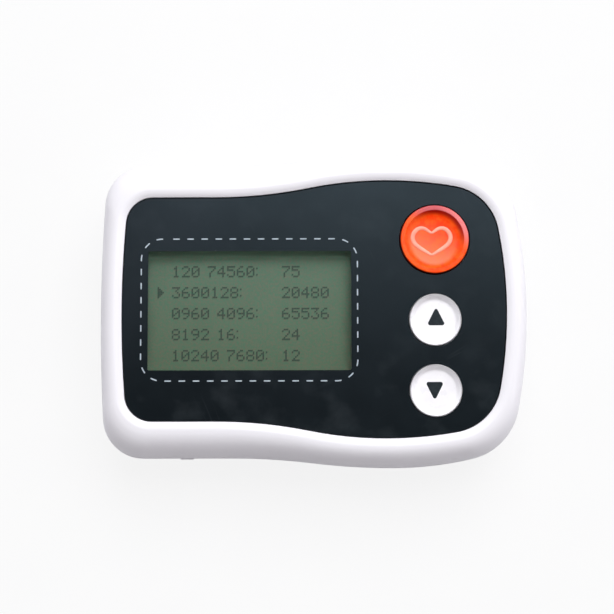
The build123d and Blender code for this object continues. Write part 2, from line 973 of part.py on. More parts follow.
def button_cap(y, radius, height, rim_width, dish_depth, dish_fillet):
    """Round cap with a dished top, a hollow skirt, a centre stem and a flange under the deck."""
    top = panel_top + height
    cap = rod(button_x, y, radius, flange_bottom, top)
    cap = fillet(cap.edges().group_by(Axis.Z)[-1], button_edge_radius)
    dish = rod(button_x, y, radius - rim_width, top - dish_depth, top + overrun)
    cap -= fillet(dish.edges().group_by(Axis.Z)[0], dish_fillet)
    flange_radius = radius + button_flange_width
    cap += rod(button_x, y, flange_radius, flange_bottom, flange_bottom + button_flange_thickness)
    roof = top - dish_depth - button_roof
    hollow = rod(button_x, y, radius - button_skirt, flange_bottom - overrun, roof)
    return cap - (hollow - rod(button_x, y, button_stem_radius, flange_bottom - overrun, roof))


def switch_body(y):
    """Square body of a tactile switch, with the bore that its plunger sinks into."""
    top = board_top + switch_height
    body = plate(button_x, y, switch_side, switch_side, switch_corner, board_top, top)
    floor = top - plunger_depth - button_travel - plunger_floor_room
    return body - rod(button_x, y, plunger_radius + plunger_gap, floor, top + overrun)


def switch_plunger(y):
    """Plunger between the switch and the cap's stem. It moves with the cap."""
    low = board_top + switch_height - plunger_depth
    return rod(button_x, y, plunger_radius, low, flange_bottom)


def main_board():
    """Circuit board, notched where the screw pillars pass, with a hole for each post's screw."""
    board = slab(case_outline.inset(wall + board_edge_gap), board_bottom, board_top)
    low = board_bottom - overrun
    high = board_top + overrun
    for x, y in case_boss_places:
        board -= rod(x, y, case_boss_radius + board_edge_gap, low, high)
    for x, y in board_post_places:
        board -= rod(x, y, board_screw_radius + screw_hole_gap, low, high)
    return board


def board_screws():
    """Four small screws that hold the board to its posts."""
    z_head = board_bottom - board_screw_head_height
    return [
        screw(
            x,
            y,
            z_head,
            board_screw_head_radius,
            board_screw_head_height,
            board_screw_radius,
            board_screw_length,
            board_screw_drive_radius,
            board_screw_drive_depth,
        )
        for x, y in board_post_places
    ]


def case_screws():
    """Four screws that join the two shells from the back."""
    return [
        screw(
            x,
            y,
            case_screw_head_depth,
            case_screw_head_radius,
            case_screw_head_height,
            case_screw_radius,
            case_screw_length,
            case_screw_drive_radius,
            case_screw_drive_depth,
        )
        for x, y in case_boss_places
    ]


def case_seal():
    """Thin seal on the lip between the shells, open where the patient socket passes."""
    top = lip_top + seal_thickness
    ring = slab(case_outline.inset(wall - lip_thickness), lip_top, top)
    ring -= slab(case_outline.inset(wall), lip_top - overrun, top + overrun)
    return ring - socket_opening()


def battery_cell(y, nub_right):
    """One dry cell on its side, with its raised end to the right or to the left."""
    room_left = spring_room if nub_right else plate_room
    low = bay_left + room_left
    high = low + cell_length
    can_low = low if nub_right else low + cell_nub_height
    can_high = high - cell_nub_height if nub_right else high
    can = rod_along_x(y, cell_z, cell_radius, can_low, can_high)
    can = fillet(can.edges().filter_by(GeomType.CIRCLE), cell_edge_radius)
    return can + rod_along_x(y, cell_z, cell_nub_radius, low, high)


def contact_plate(y, wall_x, inward):
    """Flat contact on a bay end wall, with a bump that meets a cell's raised end."""
    face_x = wall_x + inward * contact_thickness
    bump_x = wall_x + inward * (plate_room - contact_touch_gap)
    xs = sorted((wall_x, face_x))
    half = contact_width / 2
    z_low = cell_z - contact_height / 2
    z_high = cell_z + contact_height / 2
    flat = block(*xs, y - half, y + half, z_low, z_high)
    bump = rod_along_x(y, cell_z, contact_bump_radius, *sorted((wall_x, bump_x)))
    return flat + bump


def contact_spring(y, wall_x, inward):
    """Bowed leaf on a bay end wall that pushes on a cell's flat end."""
    reach = spring_room - contact_touch_gap
    half_height = contact_height / 2
    bow = (half_height**2 + reach**2) / (2 * reach)
    centre_x = wall_x + inward * (reach - bow)
    half = contact_width / 2
    ring = rod_along_y(centre_x, cell_z, bow, y - half, y + half)
    ring -= rod_along_y(centre_x, cell_z, bow - contact_thickness, y - half, y + half)
    face_x = wall_x + inward * contact_thickness
    z_low = cell_z - half_height
    z_high = cell_z + half_height
    flat = block(*sorted((wall_x, face_x)), y - half, y + half, z_low, z_high)
    tip_x = wall_x + inward * spring_room
    return flat + (ring & block(*sorted((wall_x, tip_x)), y - half, y + half, z_low, z_high))


def link_contact():
    """Strip on the left end wall that joins the two cells, a spring on one and a plate on one."""
    strip = block(
        bay_left,
        bay_left + contact_thickness,
        -cell_y,
        cell_y,
        cell_z - contact_height / 2,
        cell_z + contact_height / 2,
    )
    return contact_spring(cell_y, bay_left, 1) + contact_plate(-cell_y, bay_left, 1) + strip


def contact_tail(y):
    """Tail that rises from a right contact through the bay's ceiling to the board."""
    half = contact_tail_width / 2
    return block(bay_right - contact_thickness, bay_right, y - half, y + half, cell_z, board_bottom)


def plus_contact():
    """Right contact of the cell whose raised end lies to the right."""
    return contact_plate(cell_y, bay_right, -1) + contact_tail(cell_y)


def minus_contact():
    """Right contact of the cell whose flat end lies to the right."""
    return contact_spring(-cell_y, bay_right, -1) + contact_tail(-cell_y)


def patient_socket_shroud():
    """Sleeve of the patient cable socket, which hangs from the board."""
    sleeve = end_plate(
        0,
        socket_z,
        socket_width + 2 * socket_wall,
        socket_height + 2 * socket_wall,
        socket_corner,
        socket_mouth,
        socket_end + socket_floor,
    )
    return sleeve - end_plate(
        0,
        socket_z,
        socket_width,
        socket_height,
        socket_corner,
        socket_mouth - overrun,
        socket_end + socket_floor + overrun,
    )


def patient_socket_insert():
    """Floor of the patient socket and the tongue that its contacts lie on."""
    floor = end_plate(
        0,
        socket_z,
        socket_width,
        socket_height,
        socket_corner,
        socket_end,
        socket_end + socket_floor,
    )
    tongue = end_plate(
        0,
        socket_z,
        tongue_width,
        tongue_thickness,
        tongue_thickness / 2 - pin_thickness,
        socket_end - tongue_length,
        socket_end,
    )
    insert = floor + tongue
    for pin in patient_socket_pins():
        insert -= pin
    return insert


def patient_socket_pins():
    """Contacts set in the tongue's upper face, through the floor and up to the board."""
    pitch = tongue_width / (pin_count + 1)
    top = socket_z + tongue_thickness / 2
    back = socket_end + socket_floor + pin_tail
    pins = []
    for i in range(pin_count):
        y = -tongue_width / 2 + pitch * (i + 1)
        low_y = y - pin_width / 2
        high_y = y + pin_width / 2
        tip = socket_end - tongue_length + pin_tip_gap
        run = block(tip, back, low_y, high_y, top - pin_thickness, top)
        rise = block(back - pin_thickness, back, low_y, high_y, top - pin_thickness, board_bottom)
        pins.append(run + rise)
    return pins


def data_socket_shell():
    """Metal sleeve of the data socket."""
    back = data_mouth + data_socket_length
    sleeve = edge_plate(
        data_socket_x,
        data_socket_z,
        data_socket_width + 2 * data_socket_wall,
        data_socket_height + 2 * data_socket_wall,
        data_socket_corner + data_socket_wall,
        data_mouth,
        back,
    )
    return sleeve - edge_plate(
        data_socket_x,
        data_socket_z,
        data_socket_width,
        data_socket_height,
        data_socket_corner,
        data_mouth - overrun,
        back + overrun,
    )


def data_socket_insert():
    """Back and tongue of the data socket."""
    back = data_mouth + data_socket_length
    root = back - data_back_thickness
    insert = edge_plate(
        data_socket_x,
        data_socket_z,
        data_socket_width,
        data_socket_height,
        data_socket_corner,
        root,
        back,
    )
    half = data_tongue_width / 2
    return insert + block(
        data_socket_x - half,
        data_socket_x + half,
        root - data_tongue_length,
        root,
        data_socket_z - data_tongue_thickness / 2,
        data_socket_z + data_tongue_thickness / 2,
    )


def hanging_chip(x, y, width, depth, height):
    """A flat part on the underside of the board."""
    return plate(x, y, width, depth, chip_corner, board_bottom - height, board_bottom)


def buzzer():
    """Round sounder with its sound hole."""
    low = board_bottom - buzzer_height
    can = rod(clock_x, -row_y, buzzer_radius, low, board_bottom)
    return can - rod(clock_x, -row_y, buzzer_hole_radius, low - overrun, low + buzzer_hole_depth)


def clock_cell():
    """Coin cell that keeps the clock going."""
    high = board_bottom - clock_holder_floor - clock_gap
    return rod(clock_x, row_y, clock_radius, high - clock_height, high)


def clock_cell_holder():
    """Open ring with a floor, which clips round the coin cell."""
    low = board_bottom - clock_holder_floor - clock_gap - clock_height
    holder = rod(clock_x, row_y, clock_outer_radius, low, board_bottom)
    floor = board_bottom - clock_holder_floor
    return holder - rod(clock_x, row_y, clock_radius + clock_gap, low - overrun, floor)


def label_plate(grow, z_low, z_high):
    """A plate where the rating label lies, larger by a margin all round."""
    width = label_right - label_left + 2 * grow
    height = label_height + 2 * grow
    x = (label_left + label_right) / 2
    return plate(x, 0, width, height, label_corner + grow, z_low, z_high)


def rating_label():
    """Bare plate in its recess on the back."""
    return label_plate(0, label_recess - label_thickness, label_recess)


nodes = {
    "front_shell": front_shell,
    "back_shell": back_shell,
    "front_panel": front_panel,
    "display_window": display_window,
    "display_gasket": display_gasket,
    "display_glass": display_glass,
    "light_guide": light_guide,
    "display_frame": display_frame,
    "display_flex": display_flex,
    "flex_socket": flex_socket,
    "event_button_cap": lambda: button_cap(
        event_y, event_radius, event_height, event_rim_width, event_dish_depth, event_dish_fillet
    ),
    "up_button_cap": lambda: button_cap(
        up_y, menu_radius, menu_height, menu_rim_width, menu_dish_depth, menu_dish_fillet
    ),
    "down_button_cap": lambda: button_cap(
        down_y, menu_radius, menu_height, menu_rim_width, menu_dish_depth, menu_dish_fillet
    ),
    "event_switch_body": lambda: switch_body(event_y),
    "up_switch_body": lambda: switch_body(up_y),
    "down_switch_body": lambda: switch_body(down_y),
    "event_switch_plunger": lambda: switch_plunger(event_y),
    "up_switch_plunger": lambda: switch_plunger(up_y),
    "down_switch_plunger": lambda: switch_plunger(down_y),
    "main_board": main_board,
    "board_screws": board_screws,
    "case_screws": case_screws,
    "case_seal": case_seal,
    "battery_door": battery_door,
    "battery_cell_upper": lambda: battery_cell(cell_y, True),
    "battery_cell_lower": lambda: battery_cell(-cell_y, False),
    "link_contact": link_contact,
    "plus_contact": plus_contact,
    "minus_contact": minus_contact,
    "patient_socket_shroud": patient_socket_shroud,
    "patient_socket_insert": patient_socket_insert,
    "patient_socket_pins": patient_socket_pins,
    "data_socket_shell": data_socket_shell,
    "data_socket_insert": data_socket_insert,
    "data_port_cover": data_port_cover,
    "signal_chip": lambda: hanging_chip(chip_x, signal_y, signal_side, signal_side, chip_height),
    "controller_chip": lambda: hanging_chip(
        chip_x, controller_y, controller_side, controller_side, chip_height
    ),
    "memory_chip": lambda: hanging_chip(memory_x, row_y, memory_width, memory_depth, chip_height),
    "clock_crystal": lambda: hanging_chip(
        crystal_x, -row_y, crystal_width, crystal_depth, crystal_height
    ),
    "buzzer": buzzer,
    "clock_cell": clock_cell,
    "clock_cell_holder": clock_cell_holder,
    "rating_label": rating_label,
}

os.makedirs("parts", exist_ok=True)
for name, make in nodes.items():
    made = make()
    solids = made if isinstance(made, list) else made.solids()
    shape = solids[0] if len(solids) == 1 else Compound(children=list(solids))
    export_step(shape, f"parts/{name}.step")
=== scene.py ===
# %% [markdown]
# A pocket recorder that is worn on a belt for a day and writes down the heart's rhythm. The solid
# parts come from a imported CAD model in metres, lying on its back with the front upwards. This
# lesson gives them their finishes, makes the pieces that need finer surfaces, and lights them.

# %% Loading the frame
import bmesh
import bpy
import numpy as np
from mathutils import Matrix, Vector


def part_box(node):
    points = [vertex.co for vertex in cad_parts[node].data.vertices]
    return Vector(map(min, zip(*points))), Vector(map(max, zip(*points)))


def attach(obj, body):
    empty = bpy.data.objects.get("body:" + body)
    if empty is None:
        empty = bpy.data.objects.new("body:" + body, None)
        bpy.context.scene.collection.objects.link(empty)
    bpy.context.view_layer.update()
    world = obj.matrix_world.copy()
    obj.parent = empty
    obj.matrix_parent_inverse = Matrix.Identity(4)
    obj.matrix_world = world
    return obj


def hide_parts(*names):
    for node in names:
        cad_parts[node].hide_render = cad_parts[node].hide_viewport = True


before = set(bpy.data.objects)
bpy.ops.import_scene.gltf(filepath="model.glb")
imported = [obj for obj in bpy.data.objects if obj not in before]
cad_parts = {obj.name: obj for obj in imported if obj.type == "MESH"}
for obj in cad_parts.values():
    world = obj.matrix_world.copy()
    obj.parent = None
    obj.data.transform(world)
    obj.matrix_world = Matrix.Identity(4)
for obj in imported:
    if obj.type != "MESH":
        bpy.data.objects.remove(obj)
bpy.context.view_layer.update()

MM = 0.001

# %% [markdown]
# The camera decides the shape of everything in the picture, so it comes first. The recorder is
# seen from almost straight above, from about 30 cm, leaning a few degrees towards its lower edge.
# The three angles below turn straight down into that view.

# %% The camera
def stand_at(thing, axes, spot):
    """Turns a thing so that its own x, y and z run along three axes, and puts it on its spot."""
    rows = [[*row, along] for row, along in zip(np.array(axes).T, spot)]
    thing.matrix_world = Matrix(rows + [[0, 0, 0, 1]])


view_centre = np.array([-1.49, 1.02, 15.5]) * MM
view_distance = 294.9 * MM
lean, swing, roll = np.radians([4.99, 2.06, -0.12])
backwards = np.array([np.sin(swing) * np.sin(lean), -np.cos(swing) * np.sin(lean), np.cos(lean)])
level_right = np.cross(-backwards, [0, 1, 0])
level_right /= np.linalg.norm(level_right)
level_up = np.cross(level_right, -backwards)
right = level_right * np.cos(roll) + level_up * np.sin(roll)
up = level_up * np.cos(roll) - level_right * np.sin(roll)
eye = view_centre + backwards * view_distance

camera = bpy.data.objects.new("camera", bpy.data.cameras.new("camera"))
bpy.context.scene.collection.objects.link(camera)
camera.data.sensor_width = 36
camera.data.lens = 77.04
camera.data.clip_start = 0.01
stand_at(camera, [right, up, backwards], eye)
bpy.context.scene.camera = camera
print("camera at", np.round(eye * 1000, 1), "mm")

# %% [markdown]
# Most pieces that this lesson makes are grids of points: a formula with two parameters gives
# every point at once as one array, rows by columns. This helper joins the points into faces,
# merges rows that meet in a seam or a pole, and turns all faces outwards.

# %% Surfaces from grids of points
def grid_faces(rows, columns, count=1):
    """Corner numbers of every square of a grid, for count grids stored one after another."""
    first = np.arange(rows * columns).reshape(rows, columns)
    one = np.stack([first[:-1, :-1], first[:-1, 1:], first[1:, 1:], first[1:, :-1]], axis=-1).reshape(-1, 4)
    return (one[None] + (np.arange(count) * rows * columns)[:, None, None]).reshape(-1, 4)


def surface(name, points, finish, body, closed=True):
    """One piece from an array of points, (rows, columns, 3) or (count, rows, columns, 3), in metres."""
    grids = points.reshape((-1,) + points.shape[-3:])
    mesh = bpy.data.meshes.new(name)
    mesh.from_pydata(grids.reshape(-1, 3).tolist(), [], grid_faces(*grids.shape[1:3], len(grids)).tolist())
    if closed:
        shape = bmesh.new()
        shape.from_mesh(mesh)
        bmesh.ops.remove_doubles(shape, verts=shape.verts, dist=1e-7)
        bmesh.ops.recalc_face_normals(shape, faces=shape.faces)
        shape.to_mesh(mesh)
        shape.free()
    mesh.polygons.foreach_set("use_smooth", np.ones(len(mesh.polygons), bool))
    mesh.materials.append(finish)
    piece = bpy.data.objects.new(name, mesh)
    bpy.context.scene.collection.objects.link(piece)
    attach(piece, body)
    print(name, len(mesh.polygons), "faces")
    return piece


# %% [markdown]
# The recorder lies on a pale table top, lit by one large soft lamp above its upper edge and by
# the pale walls of the room. The floor is a shallow dish-like sheet that rises far away, which
# hides the line between table and wall. It isn't part of the recorder, so it hangs from no body.

# %% The floor
def studio_floor(reach, steps):
    """Flat near the middle, and rising with the fourth power of the distance beyond it."""
    x, y = np.meshgrid(np.linspace(-reach, reach, steps), np.linspace(-reach, reach, steps), indexing="ij")
    far = np.hypot(x, y) / reach
    return np.stack([x, y, -0.1 * MM + 0.3 * np.clip(far - 0.5, 0, None) ** 4], axis=-1)


# %% [markdown]
# A finish is a material made of nodes. Short helpers keep the later cells readable: they start a
# material with its plain settings, and add a node and join it up by the names of its sockets.
# Colours are written as on a screen, from 0 to 255, and made linear for the shader.

# %% Materials and nodes
def tone(red, green, blue):
    """Screen colour to linear light: the usual power curve with its straight foot."""
    c = np.array([red, green, blue]) / 255
    return (*np.where(c <= 0.04045, c / 12.92, ((c + 0.055) / 1.055) ** 2.4).tolist(), 1.0)


def feed(finish, socket, value):
    """Joins a socket to another node's output, or sets it to a plain value."""
    if isinstance(value, bpy.types.NodeSocket):
        finish.node_tree.links.new(value, socket)
    else:
        socket.default_value = value


def wear(finish, shader, **settings):
    """Gives sockets of a shader a plain value or another node's output, with _ for a space in
    their names."""
    for key, value in settings.items():
        feed(finish, shader.inputs[key.replace("_", " ")], value)


def new_finish(name, **settings):
    """A material whose shader has these settings."""
    finish = bpy.data.materials.new(name)
    finish.use_nodes = True
    shader = finish.node_tree.nodes["Principled BSDF"]
    wear(finish, shader, **settings)
    print("finish", name)
    return finish, shader


def show(finish, result):
    """Makes a node's result the surface that is seen."""
    feed(finish, finish.node_tree.nodes["Material Output"].inputs["Surface"], result)


def add(finish, kind, options=None, **inputs):
    """One more node, with its options, its inputs by name, or by number as i0, i1 and so on."""
    node = finish.node_tree.nodes.new("ShaderNode" + kind)
    for key, value in (options or {}).items():
        setattr(node, key, value)
    for key, value in inputs.items():
        numbered = key[0] == "i" and key[1:].isdigit()
        feed(finish, node.inputs[int(key[1:])] if numbered else node.inputs[key.replace("_", " ")], value)
    return node


# %% [markdown]
# Wear, grain and dirt on a real object are patterns in space. Each can be made of the same few
# bricks: the place of a point on the object, a soft noise, a sum, a way from one value to another, a
# mix of two colours and a relief. With one helper for each, a finish takes only a few lines.

# %% Sums and patterns
def calc(finish, operation, *values):
    """The result of a sum with one, two or three values."""
    node = add(finish, "Math", {"operation": operation})
    for socket, value in zip(node.inputs, values):
        feed(finish, socket, value)
    return node.outputs[0]


def ramp(finish, value, start, end, low=0.0, high=1.0, soft=False):
    """A value's way from start to end becomes the way from low to high, and stops at both ends."""
    bend = {"interpolation_type": "SMOOTHSTEP" if soft else "LINEAR"}
    return add(finish, "MapRange", bend, i0=value, i1=start, i2=end, i3=low, i4=high).outputs[0]


def place(finish, stretch=(1, 1, 1), shift=(0, 0, 0)):
    """Object coordinates, stretched and shifted."""
    spot = add(finish, "TexCoord").outputs["Object"]
    return add(finish, "Mapping", Vector=spot, Location=shift, Scale=stretch).outputs[0]


def xyz(finish, shift=(0, 0, 0)):
    """The three object coordinates one by one."""
    return add(finish, "SeparateXYZ", Vector=place(finish, shift=shift)).outputs


def cloud(finish, size, low=0.0, high=1.0, stretch=(1, 1, 1), detail=3.0, at=(0.35, 0.65)):
    """Soft noise with patches of this size in metres, between two plain numbers."""
    noise = add(finish, "TexNoise", Vector=place(finish, stretch), Scale=1 / size, Detail=detail)
    return ramp(finish, noise.outputs[0], at[0], at[1], low, high)


def mix(finish, share, first, second, blend="MIX"):
    """Colour between two colours, or with another blend, such as the product of both."""
    options = {"data_type": "RGBA", "blend_type": blend}
    return add(finish, "Mix", options, i0=share, i6=first, i7=second).outputs[2]


def relief(finish, shader, height, depth, strength=1.0):
    """Small ups and downs of the surface, depth metres deep."""
    bump = add(finish, "Bump", Height=height, Distance=depth, Strength=strength)
    wear(finish, shader, Normal=bump.outputs[0])


# %% [markdown]
# The paper on the floor is nearly white. It shows its own colour with the shadow in it, and for the
# camera alone a part of plain white is mixed in, so the ground runs to white round the recorder.

# %% The floor's finish
WHITE_FOR_CAMERA = 0.85

paper, paper_shader = new_finish("studio_paper", Roughness=0.9, Specular_IOR_Level=0.1)
paper_tone = mix(paper, cloud(paper, 0.02), tone(226, 226, 228), tone(230, 230, 231))
wear(paper, paper_shader, Base_Color=paper_tone)
bright = add(paper, "Emission", Color=(1, 1, 1, 1), Strength=1.0)
white_share = calc(paper, "MULTIPLY", add(paper, "LightPath").outputs["Is Camera Ray"], WHITE_FOR_CAMERA)
both = add(paper, "MixShader", i0=white_share, i1=paper_shader.outputs[0], i2=bright.outputs[0])
show(paper, both.outputs[0])

floor = surface("studio_floor", studio_floor(1.5, 61), paper, "recorder")
floor.parent = None

# %% [markdown]
# Light from a window or a soft box has a large source. A lamp half a metre wide and two thirds
# of a metre away gives the rounded rim its slow change from white to grey, and its mirror image
# runs over the dark panel as a soft gradient. The room is darkest overhead, a little away from
# the lamp, and paler near the horizon. The walls at the left and the right are paler still and
# lift the ends of the case, and the front is dim and a little warm, because whoever holds the
# camera stands there. The level is set so a colour renders about as written.

# %% The lamp and the room
HORIZON_LIGHT, OVERHEAD_LIGHT, FRONT_SHARE = 0.72, 0.12, 0.25
SIDE_WALLS = [((0.98, -0.2, 0), 0.8), ((-0.87, -0.5, 0), 0.45)]
COOL, WARM = (0.95, 0.96, 1.0, 1), (1.0, 0.92, 0.93, 1)


def soft_lamp(name, at, aimed_at, width, power):
    """A square lamp that faces its target."""
    lamp = bpy.data.lights.new(name, "AREA")
    lamp.size = width
    lamp.energy = power
    holder = bpy.data.objects.new(name, lamp)
    bpy.context.scene.collection.objects.link(holder)
    back = np.array(at, float) - np.array(aimed_at, float)
    back /= np.linalg.norm(back)
    side = np.cross([0, 1, 0.01], back)
    side /= np.linalg.norm(side)
    stand_at(holder, [side, np.cross(back, side), back], at)


def towards(finish, way, direction):
    """The dot product of a way with a direction: 1 along it and 0 across it."""
    return add(finish, "VectorMath", {"operation": "DOT_PRODUCT"}, i0=way, i1=direction).outputs["Value"]


soft_lamp("window_lamp", at=(0.11, 0.33, 0.56), aimed_at=(0, 0, 0.01), width=0.5, power=4.0)
room = bpy.data.worlds.new("room")
bpy.context.scene.world = room
room.use_nodes = True
walls = room.node_tree.nodes["Background"]
way = add(room, "TexCoord").outputs["Generated"]
front = towards(room, way, (0, -1, 0))
room_light = ramp(room, towards(room, way, (0, -0.3, 0.954)), 0.3, 0.97, HORIZON_LIGHT, OVERHEAD_LIGHT)
room_light = calc(room, "MULTIPLY", room_light, ramp(room, front, 0.0, 0.75, 1.0, FRONT_SHARE, soft=True))
for direction, extra in SIDE_WALLS:
    wall = ramp(room, towards(room, way, direction), 0.5, 1.0, 0.0, extra, soft=True)
    room_light = calc(room, "ADD", room_light, wall)
wear(room, walls, Color=mix(room, ramp(room, front, 0.0, 0.8), COOL, WARM), Strength=room_light)
bpy.context.scene.view_settings.view_transform = "Standard"
print("room light from", len(room.node_tree.nodes), "nodes")

# %% [markdown]
# The two shells and the battery door are moulded from a smooth white plastic with a breath of
# lavender. A moulding is never a perfect mirror: it has a faint orange-peel relief, slow changes
# of gloss where fingers have been, and a little grey dirt in the parting line between the shells.

# %% White case plastic
SEAM_HEIGHT = 9.12 * MM


def seam_dirt(finish, height, reach):
    """1 at one height above the table, falling to 0 within reach."""
    away = calc(finish, "ABSOLUTE", calc(finish, "SUBTRACT", xyz(finish)[2], height))
    return ramp(finish, away, 0.0, reach, 1.0, 0.0)


white, white_shader = new_finish("moulded_white", Specular_IOR_Level=0.3)
clean = mix(white, cloud(white, 0.02), tone(239, 237, 242), tone(241, 239, 244))
dirt = calc(white, "MULTIPLY", seam_dirt(white, SEAM_HEIGHT, reach=0.5 * MM), cloud(white, 0.004, 0.1, 0.6))
wear(white, white_shader, Base_Color=mix(white, dirt, clean, tone(150, 146, 142)))
wear(white, white_shader, Roughness=cloud(white, 0.009, 0.30, 0.36))
relief(white, white_shader, cloud(white, 0.0012, detail=1.0, at=(0.2, 0.8)), 0.002 * MM, 0.5)

# %% [markdown]
# The front panel is a flat plate of dark navy plastic with a satin face. Satin means a fairly
# high roughness, so that the lamp is seen only as a glow that fades towards the lower edge. Dull
# smudges of fingers, most of them near the lower edge, with a few hairline scratches and specks of
# dust, all very faint, keep so large a dark face from looking like a hole in the picture. Towards
# the upper left corner the colour is a little paler: a painted reflection of the lamp's glow.

# %% Panel plastic with smudges and scratches
SCRATCH_SHARE, MARKS_SHARE = 0.4, 0.09


def hairlines(finish, angle, size, width):
    """Thin lines where a noise, stretched along one direction, passes its middle value, kept only
    in the few patches where a second noise is high."""
    turned = add(finish, "Mapping", Vector=add(finish, "TexCoord").outputs["Object"], Rotation=(0, 0, angle))
    long = add(finish, "Mapping", Vector=turned.outputs[0], Scale=(0.04, 1, 1))
    noise = add(finish, "TexNoise", Vector=long.outputs[0], Scale=1 / size, Detail=0.0)
    away = calc(finish, "ABSOLUTE", calc(finish, "SUBTRACT", noise.outputs[0], 0.5))
    patch = add(finish, "TexNoise", Vector=turned.outputs[0], Scale=1 / (size * 3), Detail=0.0)
    kept = ramp(finish, patch.outputs[0], 0.66, 0.74)
    return calc(finish, "MULTIPLY", ramp(finish, away, 0.0, width, 1.0, 0.0), kept)


def specks(finish, spacing, width):
    """Small round grains, one in some of the cells of a net, 1 inside and 0 outside."""
    cells = add(finish, "TexVoronoi", Vector=place(finish), Scale=1 / spacing)
    spot = ramp(finish, cells.outputs["Distance"], width, width * 0.6)
    chance = add(finish, "SeparateXYZ", Vector=cells.outputs["Color"]).outputs[0]
    return calc(finish, "MULTIPLY", spot, calc(finish, "GREATER_THAN", chance, 0.8))


navy, navy_shader = new_finish("satin_navy", Specular_IOR_Level=0.22, Specular_Tint=(0.62, 0.84, 1.0, 1))
inked = mix(navy, cloud(navy, 0.02), tone(8, 11, 14), tone(11, 15, 18))
panel_x, panel_y, _ = xyz(navy)
# Painted reflection: the colour turns paler towards the upper left, as if the lamp's glow reached there.
up_left = calc(navy, "MULTIPLY_ADD", panel_y, 0.7, calc(navy, "MULTIPLY", panel_x, -1.0))
painted_sheen_share = ramp(navy, up_left, 24 * MM, 44 * MM, soft=True)
panel_tone = mix(navy, painted_sheen_share, inked, tone(23, 27, 31))
steep_lines = hairlines(navy, angle=1.15, size=0.004, width=0.01)
flat_lines = hairlines(navy, angle=-0.5, size=0.0045, width=0.01)
scratches = calc(navy, "MULTIPLY", calc(navy, "MAXIMUM", steep_lines, flat_lines), SCRATCH_SHARE)
touched = ramp(navy, panel_y, -8 * MM, -20 * MM, 0.25, 0.75)
smudges = calc(navy, "MULTIPLY", cloud(navy, 0.007, detail=5.0, at=(0.52, 0.76)), touched)
marks = calc(navy, "MAXIMUM", scratches, specks(navy, spacing=0.006, width=0.025))
faint = calc(navy, "MULTIPLY", calc(navy, "MAXIMUM", marks, smudges), MARKS_SHARE)
wear(navy, navy_shader, Base_Color=mix(navy, faint, panel_tone, tone(120, 128, 134)))
wear(navy, navy_shader, Roughness=cloud(navy, 0.006, 0.28, 0.32))
relief(navy, navy_shader, cloud(navy, 0.0004), 0.001 * MM, 0.4)

# %% [markdown]
# The lens over the display is a clear plate set flush into the panel. Its faces are parallel, so
# it hardly shifts what lies behind it, and most display windows have a coat that takes away the
# glare. A refractive index just above that of air shows both. A path tracer would find the lamp
# through clear plastic only by chance, so rays that go to a lamp pass straight through it.

# %% The clear plastic
lens, lens_shader = new_finish(
    "clear_lens", Base_Color=tone(246, 250, 248), Roughness=0.0, IOR=1.05, Transmission_Weight=1.0
)
lens_open = add(lens, "BsdfTransparent", Color=(0.94, 0.95, 0.94, 1))
to_lamp = add(lens, "LightPath").outputs["Is Shadow Ray"]
lens_mix = add(lens, "MixShader", i0=to_lamp, i1=lens_shader.outputs[0], i2=lens_open.outputs[0])
show(lens, lens_mix.outputs[0])

# %% [markdown]
# Many moulded pieces start from an outline whose corners are rounded with exact arcs, because an
# edge that a lamp can glint on is what tells a moulded part from a drawn one. Such an outline is
# a short list of corners, and one function rounds them all at once.

# %% Rounded outlines
def soften(corners, radii, steps=6, hold=0.04):
    """Every corner but the ends becomes the arc that touches both its sides. With the corner c, the
    touching points a and b, and w the cosine of half the turn, the arc is the rational curve
    ((1-t)^2 a + 2wt(1-t) c + t^2 b) / ((1-t)^2 + 2wt(1-t) + t^2). A point just before and just
    after each arc keeps the flats flat under smooth shading."""
    c, radii = np.array(corners, float), np.array(radii, float)[:, None]
    back, ahead = c[:-2] - c[1:-1], c[2:] - c[1:-1]
    back /= np.linalg.norm(back, axis=1, keepdims=True)
    ahead /= np.linalg.norm(ahead, axis=1, keepdims=True)
    half_turn = (np.pi - np.arccos(np.clip((back * ahead).sum(1, keepdims=True), -1, 1))) / 2
    cut = radii * np.tan(half_turn)
    a, b = c[1:-1] + back * cut, c[1:-1] + ahead * cut
    t = np.linspace(0, 1, steps)[None, :, None]
    w = np.cos(half_turn)[:, :, None]
    above = (1 - t) ** 2 * a[:, None] + 2 * w * t * (1 - t) * c[1:-1, None] + t**2 * b[:, None]
    arcs = above / ((1 - t) ** 2 + 2 * w * t * (1 - t) + t**2)
    run = np.concatenate([(a + back * hold)[:, None], arcs, (b + ahead * hold)[:, None]], axis=1)
    return np.concatenate([c[:1], run.reshape(-1, 2), c[-1:]])


# %% [markdown]
# The lens is an outline carried round a rectangle, which is read from the box of the CAD lens: a
# wide flange under the panel, and a raised middle that fills the window. Clean walls matter most
# on clear pieces, where every wall is seen through.

# %% The lens
FLANGE_REACH, FLANGE_THICKNESS, WALL_REACH = 2.4, 0.9, 0.395


def with_height(flat, height):
    """Points (x, y) with their height as a third number."""
    return np.concatenate([flat, np.broadcast_to(height, flat.shape[:-1] + (1,))], axis=-1)


def carried_round(outline, low, high, corner, steps=9):
    """An outline of (r, height) carried round a box's corner centres: centre + r (sin a, cos a), with a
    going once round. The rows close in the middle at both ends."""
    a = (np.arange(4)[:, None] * np.pi / 2 + np.linspace(0, np.pi / 2, steps)).ravel()
    signs = np.array([(1, 1), (1, -1), (-1, -1), (-1, 1)])
    sides = (signs * ((high - low)[:2] / 2 - corner)).repeat(steps, axis=0)
    a, sides = np.append(a, a[0]), np.append(sides, sides[:1], axis=0)
    around = sides + outline[:, :1, None] * np.stack([np.sin(a), np.cos(a)], axis=-1)
    around = np.concatenate([0 * around[:1], around, 0 * around[:1]]) + (low + high)[:2] / 2
    heights = np.concatenate([outline[:1, 1], outline[:, 1], outline[-1:, 1]])
    return with_height(around, heights[:, None, None]) * MM


